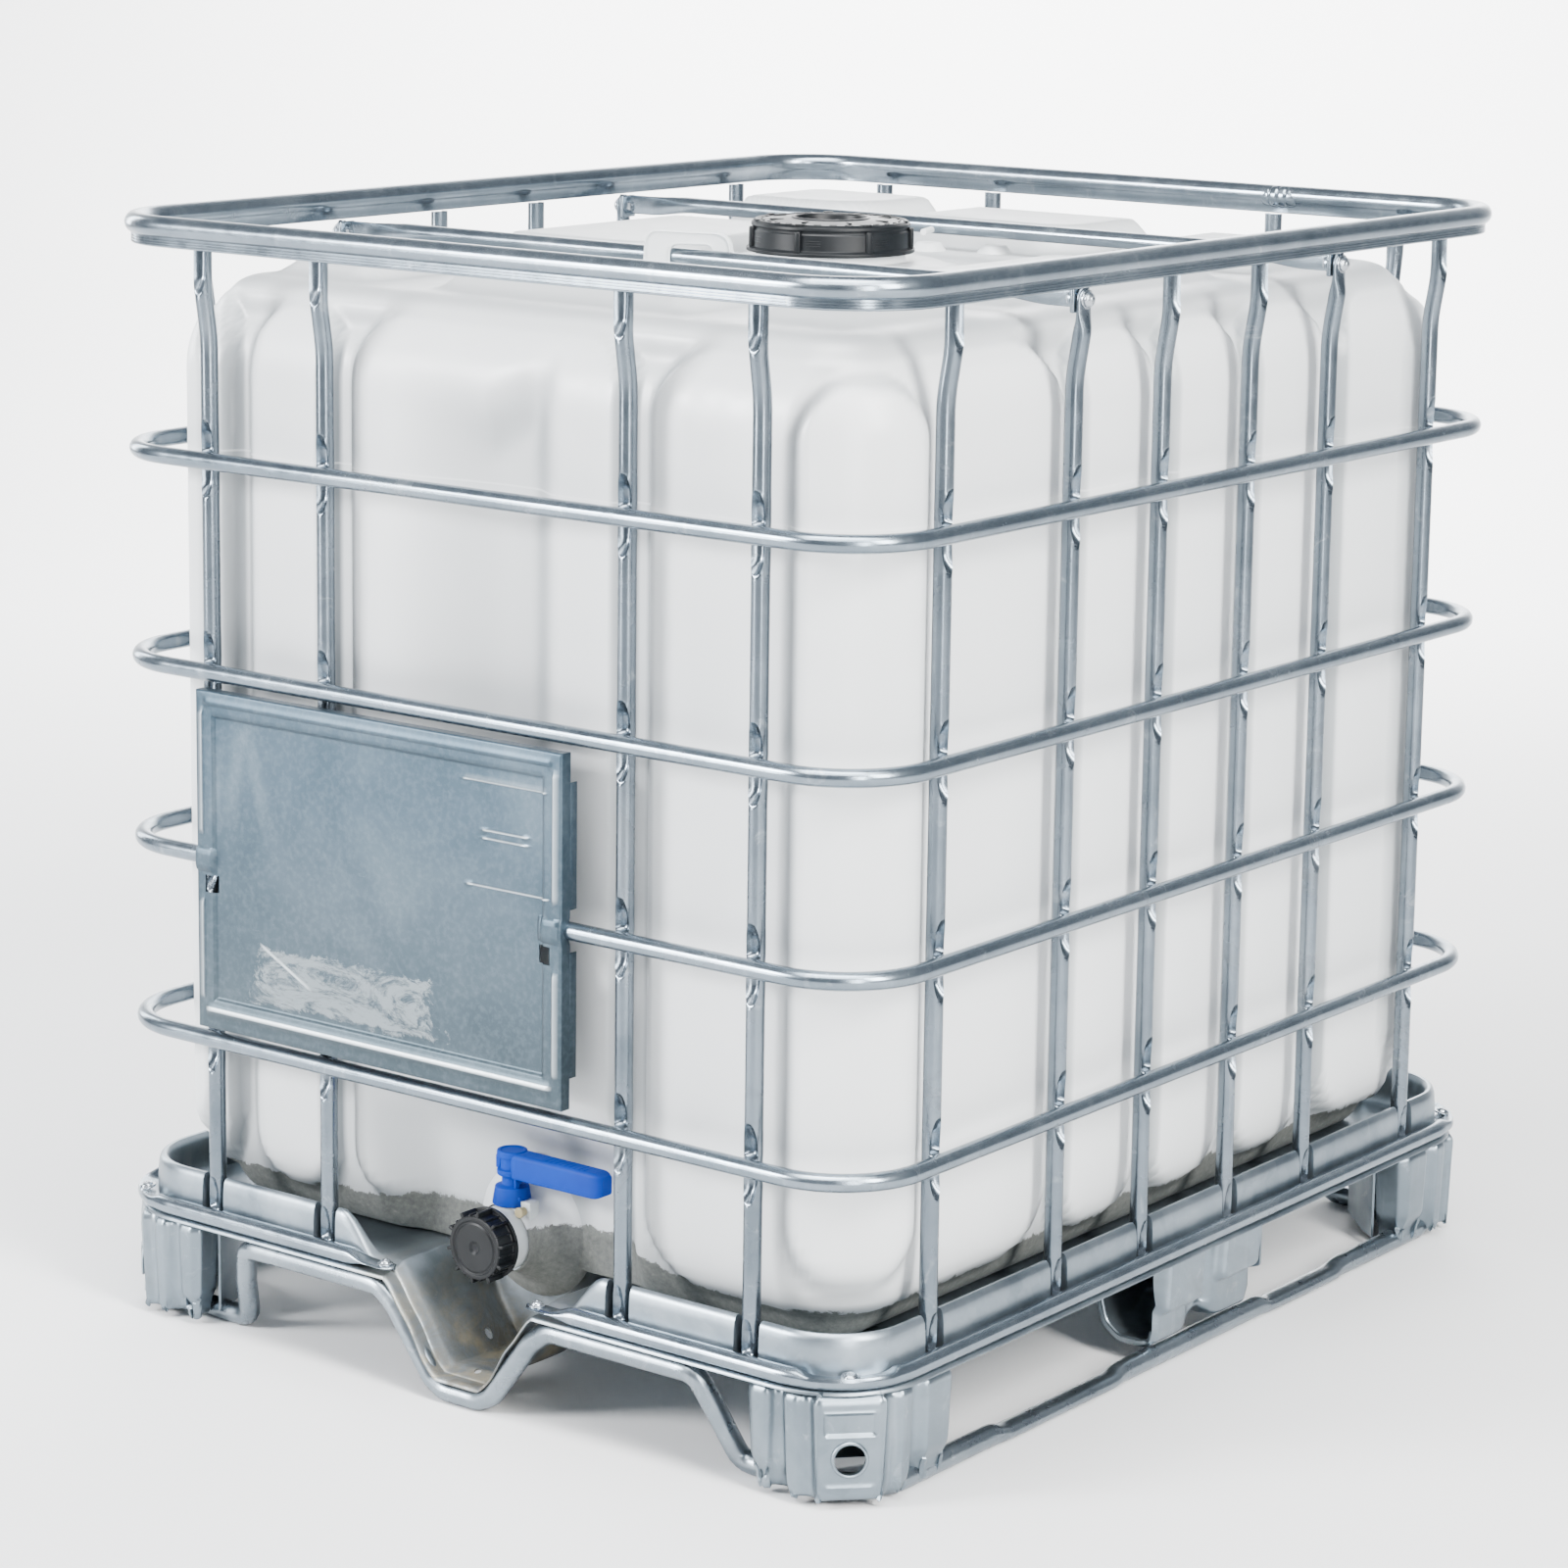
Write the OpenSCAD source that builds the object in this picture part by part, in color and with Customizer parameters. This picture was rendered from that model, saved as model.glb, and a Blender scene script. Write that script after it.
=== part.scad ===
// Intermediate bulk container: blow-moulded tank in a welded tube cage on a steel pallet.
// Millimetres. Origin under the middle of the container at floor level, +Z up.
// X runs across the width, Y along the length, and the outlet valve faces -Y.

/* [Overall] */
// Width of the container over the rim
overall_w = 1000; // [900:10:1100]
// Length of the container over the rim
overall_l = 1200; // [1100:10:1300]
// Height from the floor to the top of the rim
overall_h = 1160; // [1000:10:1300]

/* [Cage] */
// Outside diameter of the ring tubes
ring_d = 18; // [14:0.5:24]
// How far the ring tubes lie inside the rim's outline
ring_inset = 2.5; // [0:0.5:6]
// Centre-line radius of the ring corners
ring_corner_r = 90; // [60:1:130]
// Height of the top ring
ring_1_z = 918; // [880:1:960]
// Height of the second ring
ring_2_z = 702; // [670:1:740]
// Height of the third ring
ring_3_z = 511; // [480:1:550]
// Height of the fourth ring
ring_4_z = 318; // [280:1:350]
// Height of the bottom ring
ring_5_z = 126; // [118:1:140]
// Outside diameter of the upright tubes
post_d = 18; // [14:0.5:24]
// Outer uprights of the narrow sides, from the middle
post_end_outer = 351; // [320:1:380]
// Inner uprights of the narrow sides, from the middle
post_end_inner = 193; // [160:1:220]
// Outer uprights of the long sides, from the middle
post_side_outer = 450; // [420:1:470]
// Middle uprights of the long sides, from the middle
post_side_mid = 238; // [200:1:280]
// Inner uprights of the long sides, from the middle
post_side_inner = 82; // [60:1:120]
// Diameter of the rim tube
rim_d = 22; // [18:0.5:28]
// Lower edge of the rim band
rim_band_z = 1129; // [1110:1:1140]

/* [Tank] */
// Width of the tank
tank_w = 915; // [860:1:930]
// Length of the tank
tank_l = 1115; // [1060:1:1130]
// Underside of the tank
tank_z0 = 127; // [126:1:140]
// Top of the tank's body
tank_z1 = 1096; // [1060:1:1110]
// Wall thickness of the tank
tank_wall = 3; // [2:0.5:5]
// Corner radius of the tank seen from above
tank_corner_r = 105; // [60:1:140]
// Radius of the tank's upper and lower edges
tank_edge_r = 55; // [30:1:80]
// Outside diameter of the filling neck
neck_d = 158; // [140:1:165]
// Inside diameter of the filling neck
neck_bore_d = 146; // [130:1:150]

/* [Caps] */
// Outside diameter of the filling cap's skirt
fill_cap_d = 178; // [165:1:190]
// Top of the filling cap
fill_cap_z1 = 1149; // [1140:1:1155]
// Outside diameter of the outlet cap's face
outlet_cap_d = 66; // [58:1:80]
// Depth of the outlet cap
outlet_cap_t = 26; // [18:1:34]

/* [Valve] */
// Height of the outlet's centre line
outlet_z = 159; // [150:1:175]
// Bore of the outlet
outlet_bore_d = 50; // [40:1:52]
// Length of the lever from its spindle
lever_len = 124; // [90:1:140]
// Diameter of the spindle
stem_d = 12; // [8:1:16]

/* [Pallet] */
// Outside diameter of the base rail
rail_d = 22; // [18:0.5:26]
// Height of the rail's raised stretches
rail_hi_z = 102; // [90:1:108]
// Sheet thickness of the tray
tray_t = 2; // [1:0.5:3]
// Top edge of the tray's upstand
tray_top_z = 166; // [150:1:180]
// Sheet thickness of the feet
foot_t = 3; // [2:0.5:5]
// Radius of the hole in each corner foot
foot_hole_r = 15; // [10:0.5:20]
// Height of that hole
foot_hole_z = 50; // [40:1:60]

/* [Label plate] */
// Left edge of the label plate
plate_x0 = -345; // [-360:1:-300]
// Right edge of the label plate
plate_x1 = 140; // [100:1:180]
// Lower edge of the label plate
plate_z0 = 334; // [300:1:350]
// Upper edge of the label plate
plate_z1 = 686; // [650:1:700]

/* [Hidden] */
$fn = 48;
eps = 0.01;
gap = 0.3;
ring_r = ring_d / 2;
post_r = post_d / 2;
rim_r = rim_d / 2;
rail_r = rail_d / 2;
hx = overall_w / 2;
hy = overall_l / 2;
ring_hx = hx - ring_inset - ring_r;
ring_hy = hy - ring_inset - ring_r;
post_hx = ring_hx - ring_r - post_r - gap;
post_hy = ring_hy - ring_r - post_r - gap;
rim_hx = hx - rim_r;
rim_hy = hy - rim_r;
rim_z = overall_h - rim_r;
rim_corner_r = ring_corner_r + 2;
band_t = 8;
post_z0 = 118;
post_bend_z = 1030;
post_top_z = 1100;
post_end_z = rim_band_z - gap;
post_lean = 8;
end_posts = [-post_end_outer, -post_end_inner, post_end_inner, post_end_outer];
side_posts = [
  -post_side_outer,
  -post_side_mid,
  -post_side_inner,
  post_side_inner,
  post_side_mid,
  post_side_outer
];
bar_y = post_side_mid;
bar_z = 1122;
bar_d = 18;
bar_hx = post_hx - 32;
bolt_x = post_hx + post_lean + 3 + gap;
tray_hx = ring_hx - ring_r - 1;
tray_hy = ring_hy - ring_r - 1;
tray_floor_z = 124;
flange_z = 114.7;
lip_hx = 95;
lip_bottom_hx = 26;
lip_bottom_z = 24;
lip_y1 = -430;
ring_gap_hx = 112;
screw_x = ring_hx - ring_corner_r * (1 - cos(45));
foot_x0 = 360;
foot_y0 = 430;
foot_hx = 494;
foot_hy = 594;
foot_cut = 50;
notch_d = 19;
foot_z0 = 8;
foot_z1 = 114.2;
mid_y0 = -58;
mid_y1 = 130;
mid_lobe_w = 80;
mid_lobe_z = 56;
end_grooves = [-206, 166];
side_grooves = [-425, -185, -31, 125, 300];
valve_y0 = -478;
valve_y1 = -542;
valve_r = 33;
pocket_hx = 155;
pocket_z1 = 262;
stem_y = -510;
lever_z = 236;
cap_face_y = -568;
steel = [0.62, 0.66, 0.69];
bright_steel = [0.75, 0.78, 0.80];
hdpe = [0.93, 0.95, 0.95];
black_plastic = [0.06, 0.06, 0.07];
blue_plastic = [0.05, 0.33, 0.80];
rubber = [0.12, 0.12, 0.12];
beige_plastic = [0.83, 0.78, 0.62];

// Corner arc of a rounded rectangle as a list of points
function arc_pts(cx, cy, r, a0, n) = [for (i = [0:n]) [cx + r * cos(a0 + 90 * i / n), cy + r * sin(a0 + 90 * i / n)]];

// Rounded rectangle outline with half sizes a and b
function round_rect(a, b, r, n = 12) = concat(
  arc_pts(a - r, b - r, r, 0, n),
  arc_pts(-a + r, b - r, r, 90, n),
  arc_pts(-a + r, -b + r, r, 180, n),
  arc_pts(a - r, -b + r, r, 270, n)
);

module slab(a, b, r, z0, z1) {
  translate([0, 0, z0]) linear_extrude(z1 - z0) polygon(round_rect(a, b, r));
}

// Straight round bar between two points
module bar(p, q, r) {
  v = q - p;
  len = norm(v);
  translate(p)
    rotate([0, acos(v[2] / len), atan2(v[1], v[0])])
      cylinder(r = r, h = len);
}

// Closed round tube loop with rounded corners
module tube_loop(a, b, rc, r, z) {
  translate([0, 0, z]) {
    for (s = [-1, 1]) {
      bar([-a + rc, s * b, 0], [a - rc, s * b, 0], r);
      bar([s * a, -b + rc, 0], [s * a, b - rc, 0], r);
    }
    loop_corners(a, b, rc, r);
  }
}

module loop_corners(a, b, rc, r) {
  corners = [[1, 1, 0], [-1, 1, 90], [-1, -1, 180], [1, -1, 270]];
  for (c = corners)
    translate([c[0] * (a - rc), c[1] * (b - rc), 0])
      rotate([0, 0, c[2]])
        rotate_extrude(angle = 90) translate([rc, 0]) circle(r = r);
}

// ---- Tank ----

module tank_form(t) {
  difference() {
    hull()
      for (x = [-1, 1], y = [-1, 1], z = [0, 1])
        translate([
          x * (tank_w / 2 - tank_corner_r),
          y * (tank_l / 2 - tank_corner_r),
          z == 0 ? tank_z0 + tank_edge_r : tank_z1 - tank_edge_r
        ])
          rotate_extrude($fn = 40)
            polygon(tank_corner(t));
    for (s = [-1, 1]) {
      for (x = end_grooves)
        translate([x, s * (tank_l / 2 + 24), 0]) cylinder(r = 42 + t, h = 2000);
      for (y = side_grooves)
        translate([s * (tank_w / 2 + 24), y, 0]) cylinder(r = 42 + t, h = 2000);
    }
  }
}

// Quarter-round profile of a tank corner, drawn in by t
function tank_corner(t) = concat(
  [[0, -tank_edge_r + t]],
  [for (i = [0:6]) [
    tank_corner_r - tank_edge_r + (tank_edge_r - t) * sin(15 * i),
    -(tank_edge_r - t) * cos(15 * i)
  ]],
  [for (i = [0:6]) [
    tank_corner_r - tank_edge_r + (tank_edge_r - t) * cos(15 * i),
    (tank_edge_r - t) * sin(15 * i)
  ]],
  [[0, tank_edge_r - t]]
);

module tank() {
  color(hdpe)
    difference() {
      union() {
        tank_form(0);
        translate([0, 0, tank_z1 - 20]) cylinder(d = 210, h = 30);
        translate([0, 0, tank_z1]) cylinder(d = neck_d, h = 40);
        for (x = [-1, 1])
          tank_block(x);
      }
      difference() {
        tank_form(tank_wall);
        valve_pocket(tank_wall);
      }
      translate([0, 0, tank_z1 - 30]) cylinder(d = neck_bore_d, h = 100);
      valve_pocket(0);
      translate([0, -300, outlet_z]) rotate([90, 0, 0]) cylinder(d = outlet_bore_d, h = 300);
    }
}

// Raised blocks on the tank's shoulders, one run per side
module tank_block(side) {
  for (y = [-390, 0, 390])
    translate([side * 260, y, tank_z1 - 20]) slab(130, y == 0 ? 190 : 105, 40, 0, 32);
}

// Recess in the lower front of the tank that the valve and its lever sit in, grown by t
module valve_pocket(t) {
  translate([-pocket_hx - t, 0, 0])
    rotate([90, 0, 90])
      linear_extrude(2 * (pocket_hx + t))
        polygon([
          [-hy, tank_z0 - 20],
          [valve_y0 + t, tank_z0 - 20],
          [valve_y0 + t, pocket_z1 + t],
          [-tank_l / 2 + t, pocket_z1 + 75 + t],
          [-hy, pocket_z1 + 75 + t]
        ]);
}

module loop_at(y) {
  color(hdpe)
    difference() {
      translate([-46, y - 11, tank_z1 + gap]) cube([92, 22, 1147 - tank_z1]);
      translate([0, y, bar_z]) rotate([0, 90, 0]) cylinder(d = bar_d + 1, h = 200, center = true);
      translate([-28, y - 20, bar_z - 8]) cube([26, 40, 16]);
      translate([34, y - 20, bar_z]) rotate([-90, 0, 0]) cylinder(r = 4, h = 40);
    }
}

module loop_front() {
  loop_at(-bar_y);
}

module loop_rear() {
  loop_at(bar_y);
}

// ---- Filling cap ----

module fill_gasket() {
  color(rubber)
    translate([0, 0, tank_z1 + 40 + gap])
      difference() {
        cylinder(d = neck_d - 2, h = 3);
        translate([0, 0, -1]) cylinder(d = neck_bore_d + 2, h = 5);
      }
}

module fill_cap() {
  z0 = 1113;
  color(black_plastic)
    difference() {
      union() {
        rotate_extrude($fn = 96)
          polygon([
            [0, z0],
            [fill_cap_d / 2, z0],
            [fill_cap_d / 2, z0 + 4],
            [fill_cap_d / 2 - 3, z0 + 5],
            [fill_cap_d / 2 - 4, fill_cap_z1 - 6],
            [fill_cap_d / 2 - 7, fill_cap_z1],
            [0, fill_cap_z1]
          ]);
        for (i = [0:6])
          rotate([0, 0, 360 / 7 * i + 26])
            translate([fill_cap_d / 2 - 8, -5, z0 + 1]) cube([8, 10, fill_cap_z1 - z0 - 6]);
      }
      translate([0, 0, z0 - 1]) cylinder(d = neck_d + 3, h = tank_z1 + 40 - z0 + 1 + 2 * gap + 3);
      translate([0, 0, fill_cap_z1 - 6]) cylinder(d = 76, h = 10);
    }
}

// ---- Outlet valve ----

module valve_body() {
  color(hdpe)
    difference() {
      union() {
        translate([0, valve_y0 - gap, outlet_z])
          rotate([90, 0, 0]) cylinder(r = valve_r, h = valve_y0 - gap - valve_y1);
        translate([0, valve_y1 + 1, outlet_z]) rotate([90, 0, 0]) cylinder(r = 29.5, h = 20);
        translate([0, stem_y, outlet_z]) cylinder(r = 15, h = 46);
        translate([16, stem_y - 8, outlet_z + 20]) cube([14, 16, 20]);
      }
      translate([0, -400, outlet_z]) rotate([90, 0, 0]) cylinder(d = outlet_bore_d, h = 300);
      translate([0, stem_y, outlet_z - 30]) cylinder(d = stem_d + 0.1, h = 120);
    }
}

module valve_stem() {
  color(blue_plastic) {
    difference() {
      translate([0, stem_y, outlet_z - 29]) cylinder(d = stem_d, h = lever_z - outlet_z + 34);
      translate([-10, stem_y - 1.8, outlet_z - 25 + gap]) cube([20, 3.6, 50 - 2 * gap]);
    }
  }
}

module valve_disc() {
  color(hdpe)
    intersection() {
      translate([0, stem_y + 1.5, outlet_z]) rotate([90, 0, 0]) cylinder(d = outlet_bore_d - 1.2, h = 3);
      translate([-30, stem_y - 5, outlet_z - 24]) cube([60, 10, 48]);
    }
}

module valve_lever() {
  color(blue_plastic)
    difference() {
      union() {
        translate([0, stem_y, outlet_z + 47]) cylinder(r = 17, h = 5);
        translate([0, stem_y, outlet_z + 50]) cylinder(r = 11, h = lever_z - outlet_z - 50);
        translate([0, stem_y, lever_z - 14]) cylinder(r = 15.5, h = 26);
        translate([0, stem_y - 11, lever_z - 12]) cube([lever_len - 9, 22, 22]);
        translate([lever_len - 10, stem_y, lever_z - 12]) cylinder(r = 11, h = 22);
      }
      translate([0, stem_y, outlet_z]) cylinder(d = stem_d + 2 * gap, h = lever_z - outlet_z + 5 + gap);
      translate([22, stem_y - 7, lever_z - 13]) cube([lever_len - 32, 14, 16]);
    }
}

module lever_pin() {
  color(beige_plastic)
    translate([23, stem_y - 8 - gap, outlet_z + 31]) {
      rotate([90, 0, 0]) cylinder(r = 4.6, h = 7);
      translate([0, -2, 0]) rotate([90, 0, 0]) cylinder(r = 5.5, h = 2);
    }
}

module outlet_gasket() {
  color(rubber)
    translate([0, valve_y1 - 19 - gap, outlet_z])
      rotate([90, 0, 0])
        difference() {
          cylinder(r = 29, h = 2);
          translate([0, 0, -1]) cylinder(d = outlet_bore_d + 2, h = 4);
        }
}

module outlet_cap() {
  color(black_plastic)
    translate([0, cap_face_y, outlet_z])
      rotate([-90, 0, 0])
        difference() {
          union() {
            cylinder(d1 = outlet_cap_d - 4, d2 = outlet_cap_d, h = 2);
            translate([0, 0, 2 - eps]) cylinder(d = outlet_cap_d, h = outlet_cap_t - 5);
            translate([0, 0, outlet_cap_t - 4]) cylinder(d = outlet_cap_d + 8, h = 4);
            for (i = [0:9])
              rotate([0, 0, 36 * i + 12])
                translate([outlet_cap_d / 2 - 2, -2, 1.5]) cube([7, 4, outlet_cap_t - 3]);
          }
          translate([0, 0, 4.4]) cylinder(r = 30.2, h = outlet_cap_t);
        }
}

// ---- Cage ----

module top_rim() {
  color(bright_steel) {
    tube_loop(rim_hx, rim_hy, rim_corner_r, rim_r, rim_z);
    difference() {
      slab(hx - 3, hy - 3, rim_corner_r + 8, rim_band_z, rim_z - 6);
      slab(hx - 3 - band_t, hy - 3 - band_t, rim_corner_r, rim_band_z - 1, rim_z - 5);
      for (z = [rim_band_z + 3, rim_band_z + 7])
        difference() {
          slab(hx, hy, rim_corner_r + 11, z, z + 1);
          slab(hx - 4, hy - 4, rim_corner_r + 7, z - 1, z + 2);
        }
    }
  }
}

module cage_ring(z) {
  color(steel) tube_loop(ring_hx, ring_hy, ring_corner_r, ring_r, z);
}

module ring_1() {
  cage_ring(ring_1_z);
}

module ring_2() {
  cage_ring(ring_2_z);
}

module ring_3() {
  cage_ring(ring_3_z);
}

module ring_4() {
  cage_ring(ring_4_z);
}

// The bottom ring stops either side of the outlet with flattened ends
module bottom_ring() {
  color(steel)
    translate([0, 0, ring_5_z]) {
      for (s = [-1, 1]) {
        bar([s * ring_gap_hx, -ring_hy, 0], [s * (ring_hx - ring_corner_r), -ring_hy, 0], ring_r);
        bar([s * ring_hx, -ring_hy + ring_corner_r, 0], [s * ring_hx, ring_hy - ring_corner_r, 0], ring_r);
        translate([s > 0 ? ring_gap_hx - 24 : -ring_gap_hx - 6, -ring_hy - 8, -3]) cube([30, 16, 4]);
      }
      bar([-ring_hx + ring_corner_r, ring_hy, 0], [ring_hx - ring_corner_r, ring_hy, 0], ring_r);
      loop_corners(ring_hx, ring_hy, ring_corner_r, ring_r);
    }
}

// One upright, standing at the origin and leaning outwards (+X) at its top
module post() {
  bar([0, 0, post_z0], [0, 0, post_bend_z], post_r);
  translate([0, 0, post_bend_z]) sphere(r = post_r + 0.15);
  bar([0, 0, post_bend_z], [post_lean, 0, post_top_z], post_r);
  translate([post_lean - 3, -post_r, post_top_z - 8]) cube([6, post_d, post_end_z - post_top_z + 8]);
}

// An upright with a bolt hole through its flattened top
module post_drilled() {
  difference() {
    post();
    translate([-20, 0, bar_z - 6]) rotate([0, 90, 0]) cylinder(r = 4.3, h = 60);
  }
}

module posts_front() {
  color(steel)
    for (x = end_posts)
      translate([x, -post_hy, 0]) rotate([0, 0, -90]) post();
}

module posts_rear() {
  color(steel)
    for (x = end_posts)
      translate([x, post_hy, 0]) rotate([0, 0, 90]) post();
}

module side_post_row() {
  for (y = side_posts)
    translate([post_hx, y, 0])
      if (abs(y) == post_side_mid) post_drilled();
      else post();
}

module posts_right() {
  color(steel) side_post_row();
}

module posts_left() {
  color(steel) mirror([1, 0, 0]) side_post_row();
}

// Tube over the tank with a flattened, bolted tab at each end
module crossbar(y) {
  color(bright_steel)
    translate([0, y, 0])
      difference() {
        union() {
          bar([-bar_hx, 0, bar_z], [bar_hx, 0, bar_z], bar_d / 2);
          for (s = [-1, 1])
            mirror([s > 0 ? 0 : 1, 0, 0]) {
              translate([bar_hx - 4, -11, bar_z + 2.2]) cube([37, 22, 4]);
              translate([bar_hx + 31, -11, bar_z - 18]) cube([5.5, 22, 24.2]);
            }
        }
        for (s = [-1, 1])
          mirror([s > 0 ? 0 : 1, 0, 0])
            translate([bar_hx + 22, 0, bar_z - 6]) rotate([0, 90, 0]) cylinder(r = 4.3, h = 20);
      }
}

module crossbar_front() {
  crossbar(-bar_y);
}

module crossbar_rear() {
  crossbar(bar_y);
}

module at_bar_bolts() {
  for (s = [0, 1], y = [-bar_y, bar_y])
    mirror([s, 0, 0]) translate([0, y, bar_z - 6]) rotate([0, 90, 0]) children();
}

module crossbar_bolts() {
  color(bright_steel)
    at_bar_bolts() {
      translate([0, 0, bar_hx + 20]) cylinder(r = 4, h = bolt_x - bar_hx - 16);
      translate([0, 0, bolt_x + 1.8 + gap])
        rotate_extrude() polygon([[0, -eps], [8, -eps], [8, 1.5], [6, 4], [3, 5.2], [0, 5.5]]);
    }
}

module crossbar_washers() {
  color(steel)
    at_bar_bolts()
      translate([0, 0, bolt_x])
        difference() {
          cylinder(r = 9.5, h = 1.8);
          translate([0, 0, -1]) cylinder(r = 4.3, h = 4);
        }
}

module crossbar_nuts() {
  color(steel)
    at_bar_bolts()
      translate([0, 0, bar_hx + 24.2])
        difference() {
          cylinder(r = 7.5, h = 6.5, $fn = 6);
          translate([0, 0, -1]) cylinder(r = 4.3, h = 9);
        }
}

// ---- Label plate ----

module label_plate() {
  y0 = -(hy - 0.5);
  w = plate_x1 - plate_x0;
  h = plate_z1 - plate_z0;
  color(steel)
    difference() {
      union() {
        translate([plate_x0, y0, plate_z0]) cube([w, 1.5, h]);
        translate([plate_x0, y0, plate_z1 - 2]) cube([w, 13, 1.5]);
        translate([plate_x0, y0, plate_z0]) cube([w, 13, 1.5]);
        translate([plate_x1 - 1.5, y0, plate_z0]) cube([1.5, 13, h]);
        translate([plate_x0, y0, plate_z0]) cube([1.5, 13, h]);
      }
      for (x = [plate_x0 - 2, plate_x1 - 18])
        translate([x, y0 - 1, ring_3_z - ring_r - 2]) cube([20, 30, ring_d + 4]);
      for (x = [plate_x0 + 8, plate_x1 - 26])
        translate([x, y0 - 1, ring_3_z - 46]) cube([16, 5, 18]);
    }
}

// ---- Pallet ----

// Cross-section of the outlet trough, seen from the front, drawn as sheet of thickness t
function trough_pts(t) = [
  [-lip_hx - 4, flange_z],
  [-lip_hx, flange_z],
  [-lip_bottom_hx, lip_bottom_z],
  [lip_bottom_hx, lip_bottom_z],
  [lip_hx, flange_z],
  [lip_hx + 4, flange_z],
  [lip_hx + 4, flange_z + t],
  [lip_hx - t * 0.5, flange_z + t],
  [lip_bottom_hx - t * 0.5, lip_bottom_z + t],
  [-lip_bottom_hx + t * 0.5, lip_bottom_z + t],
  [-lip_hx + t * 0.5, flange_z + t],
  [-lip_hx - 4, flange_z + t]
];

module trough() {
  translate([0, lip_y1, 0])
    rotate([90, 0, 0])
      linear_extrude(hy - 3 + lip_y1) polygon(trough_pts(tray_t));
  translate([0, lip_y1 + tray_t, 0])
    rotate([90, 0, 0])
      linear_extrude(tray_t + eps)
        polygon([
          [-lip_hx - 4, tray_floor_z + tray_t],
          [-lip_hx, flange_z],
          [-lip_bottom_hx, lip_bottom_z],
          [lip_bottom_hx, lip_bottom_z],
          [lip_hx, flange_z],
          [lip_hx + 4, tray_floor_z + tray_t]
        ]);
}

// Notches that the uprights stand in
module post_notches(grow, z0, z1) {
  w = post_d + 8 + 2 * grow;
  d = notch_d + grow;
  for (s = [-1, 1]) {
    for (x = end_posts)
      translate([x - w / 2, s > 0 ? tray_hy - d : -tray_hy - 5, z0]) cube([w, d + 5, z1 - z0]);
    for (y = side_posts)
      translate([s > 0 ? tray_hx - d : -tray_hx - 5, y - w / 2, z0]) cube([d + 5, w, z1 - z0]);
  }
}

module tray_solid(t, z0, z1) {
  difference() {
    slab(tray_hx - t, tray_hy - t, 82 - t, z0, z1);
    post_notches(t, z0 - 1, z1 + 1);
  }
}

module tray() {
  color(steel)
    difference() {
      union() {
        difference() {
          slab(hx - 5, hy - 5, ring_corner_r + 4, flange_z, flange_z + tray_t);
          translate([-lip_hx - 3, -hy - 1, flange_z - 5]) cube([2 * lip_hx + 6, hy + 1 + lip_y1, 20]);
          tray_solid(tray_t, flange_z - 1, flange_z + tray_t + 1);
        }
        difference() {
          tray_solid(0, flange_z, tray_top_z);
          tray_solid(tray_t, flange_z - 1, tray_top_z + 1);
          translate([-lip_hx - 22, -hy, flange_z - 5]) cube([2 * lip_hx + 44, 100, 100]);
        }
        difference() {
          tray_solid(1, tray_floor_z, tray_floor_z + tray_t);
          translate([-lip_hx - 3, -hy - 1, tray_floor_z - 5]) cube([2 * lip_hx + 6, hy + 1 + lip_y1, 20]);
        }
        trough();
        for (s = [-1, 1])
          translate([s > 0 ? lip_hx + 2 : -lip_hx - 4, -tray_hy + 1, flange_z])
            cube([2, tray_hy + lip_y1, tray_floor_z + tray_t - flange_z]);
      }
      for (p = [[-40, -500], [14, -560]])
        translate([p[0], p[1], 0]) cylinder(r = 3, h = 200);
      for (x = [-1, 1], y = [-1, 1])
        translate([x * screw_x, y * (screw_x + hy - hx), flange_z - 5]) cylinder(r = 3.4, h = 12);
      for (x = [-1, 1])
        translate([x * (ring_gap_hx - 12), -ring_hy, flange_z - 5]) cylinder(r = 3.4, h = 12);
    }
}

// Screws through the flattened corners and ends of the bottom ring
module tray_screws() {
  color(bright_steel) {
    for (x = [-1, 1], y = [-1, 1])
      translate([x * screw_x, y * (screw_x + hy - hx), ring_5_z + ring_r + gap])
        rotate_extrude() polygon([[0, 0], [7, 0], [7, 1.2], [4.5, 3.4], [0, 4.2]]);
    for (x = [-1, 1])
      translate([x * (ring_gap_hx - 12), -ring_hy, ring_5_z + 1 + gap])
        rotate_extrude() polygon([[0, 0], [6, 0], [6, 1.2], [4, 3], [0, 3.6]]);
  }
}

// Half of the base rail's path from the front middle round to the rear middle
rail_zl = rail_r - 0.4;
rail_hx = 472;
rail_path = [
  [0, -585, rail_zl],
  [22, -585, rail_zl],
  [40, -585, 19],
  [92, -585, 86],
  [110, -585, rail_hi_z],
  [294, -585, rail_hi_z],
  [306, -582, 94],
  [324, -552, 20],
  [338, -547, rail_zl],
  [415, -547, rail_zl],
  [455, -529, rail_zl],
  [rail_hx, -485, rail_zl],
  [rail_hx, 485, rail_zl],
  [455, 529, rail_zl],
  [415, 547, rail_zl],
  [338, 547, rail_zl],
  [324, 552, 20],
  [306, 582, 94],
  [294, 585, rail_hi_z],
  [0, 585, rail_hi_z]
];

module rail_half() {
  for (i = [0:len(rail_path) - 2])
    bar(rail_path[i], rail_path[i + 1], rail_r);
  for (i = [1:len(rail_path) - 2])
    translate(rail_path[i]) sphere(r = rail_r + 0.25);
}

module base_rail() {
  color(steel)
    difference() {
      union() {
        rail_half();
        mirror([1, 0, 0]) rail_half();
      }
      translate([-hx, -hy, -50]) cube([overall_w, overall_l, 50]);
    }
}

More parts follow.
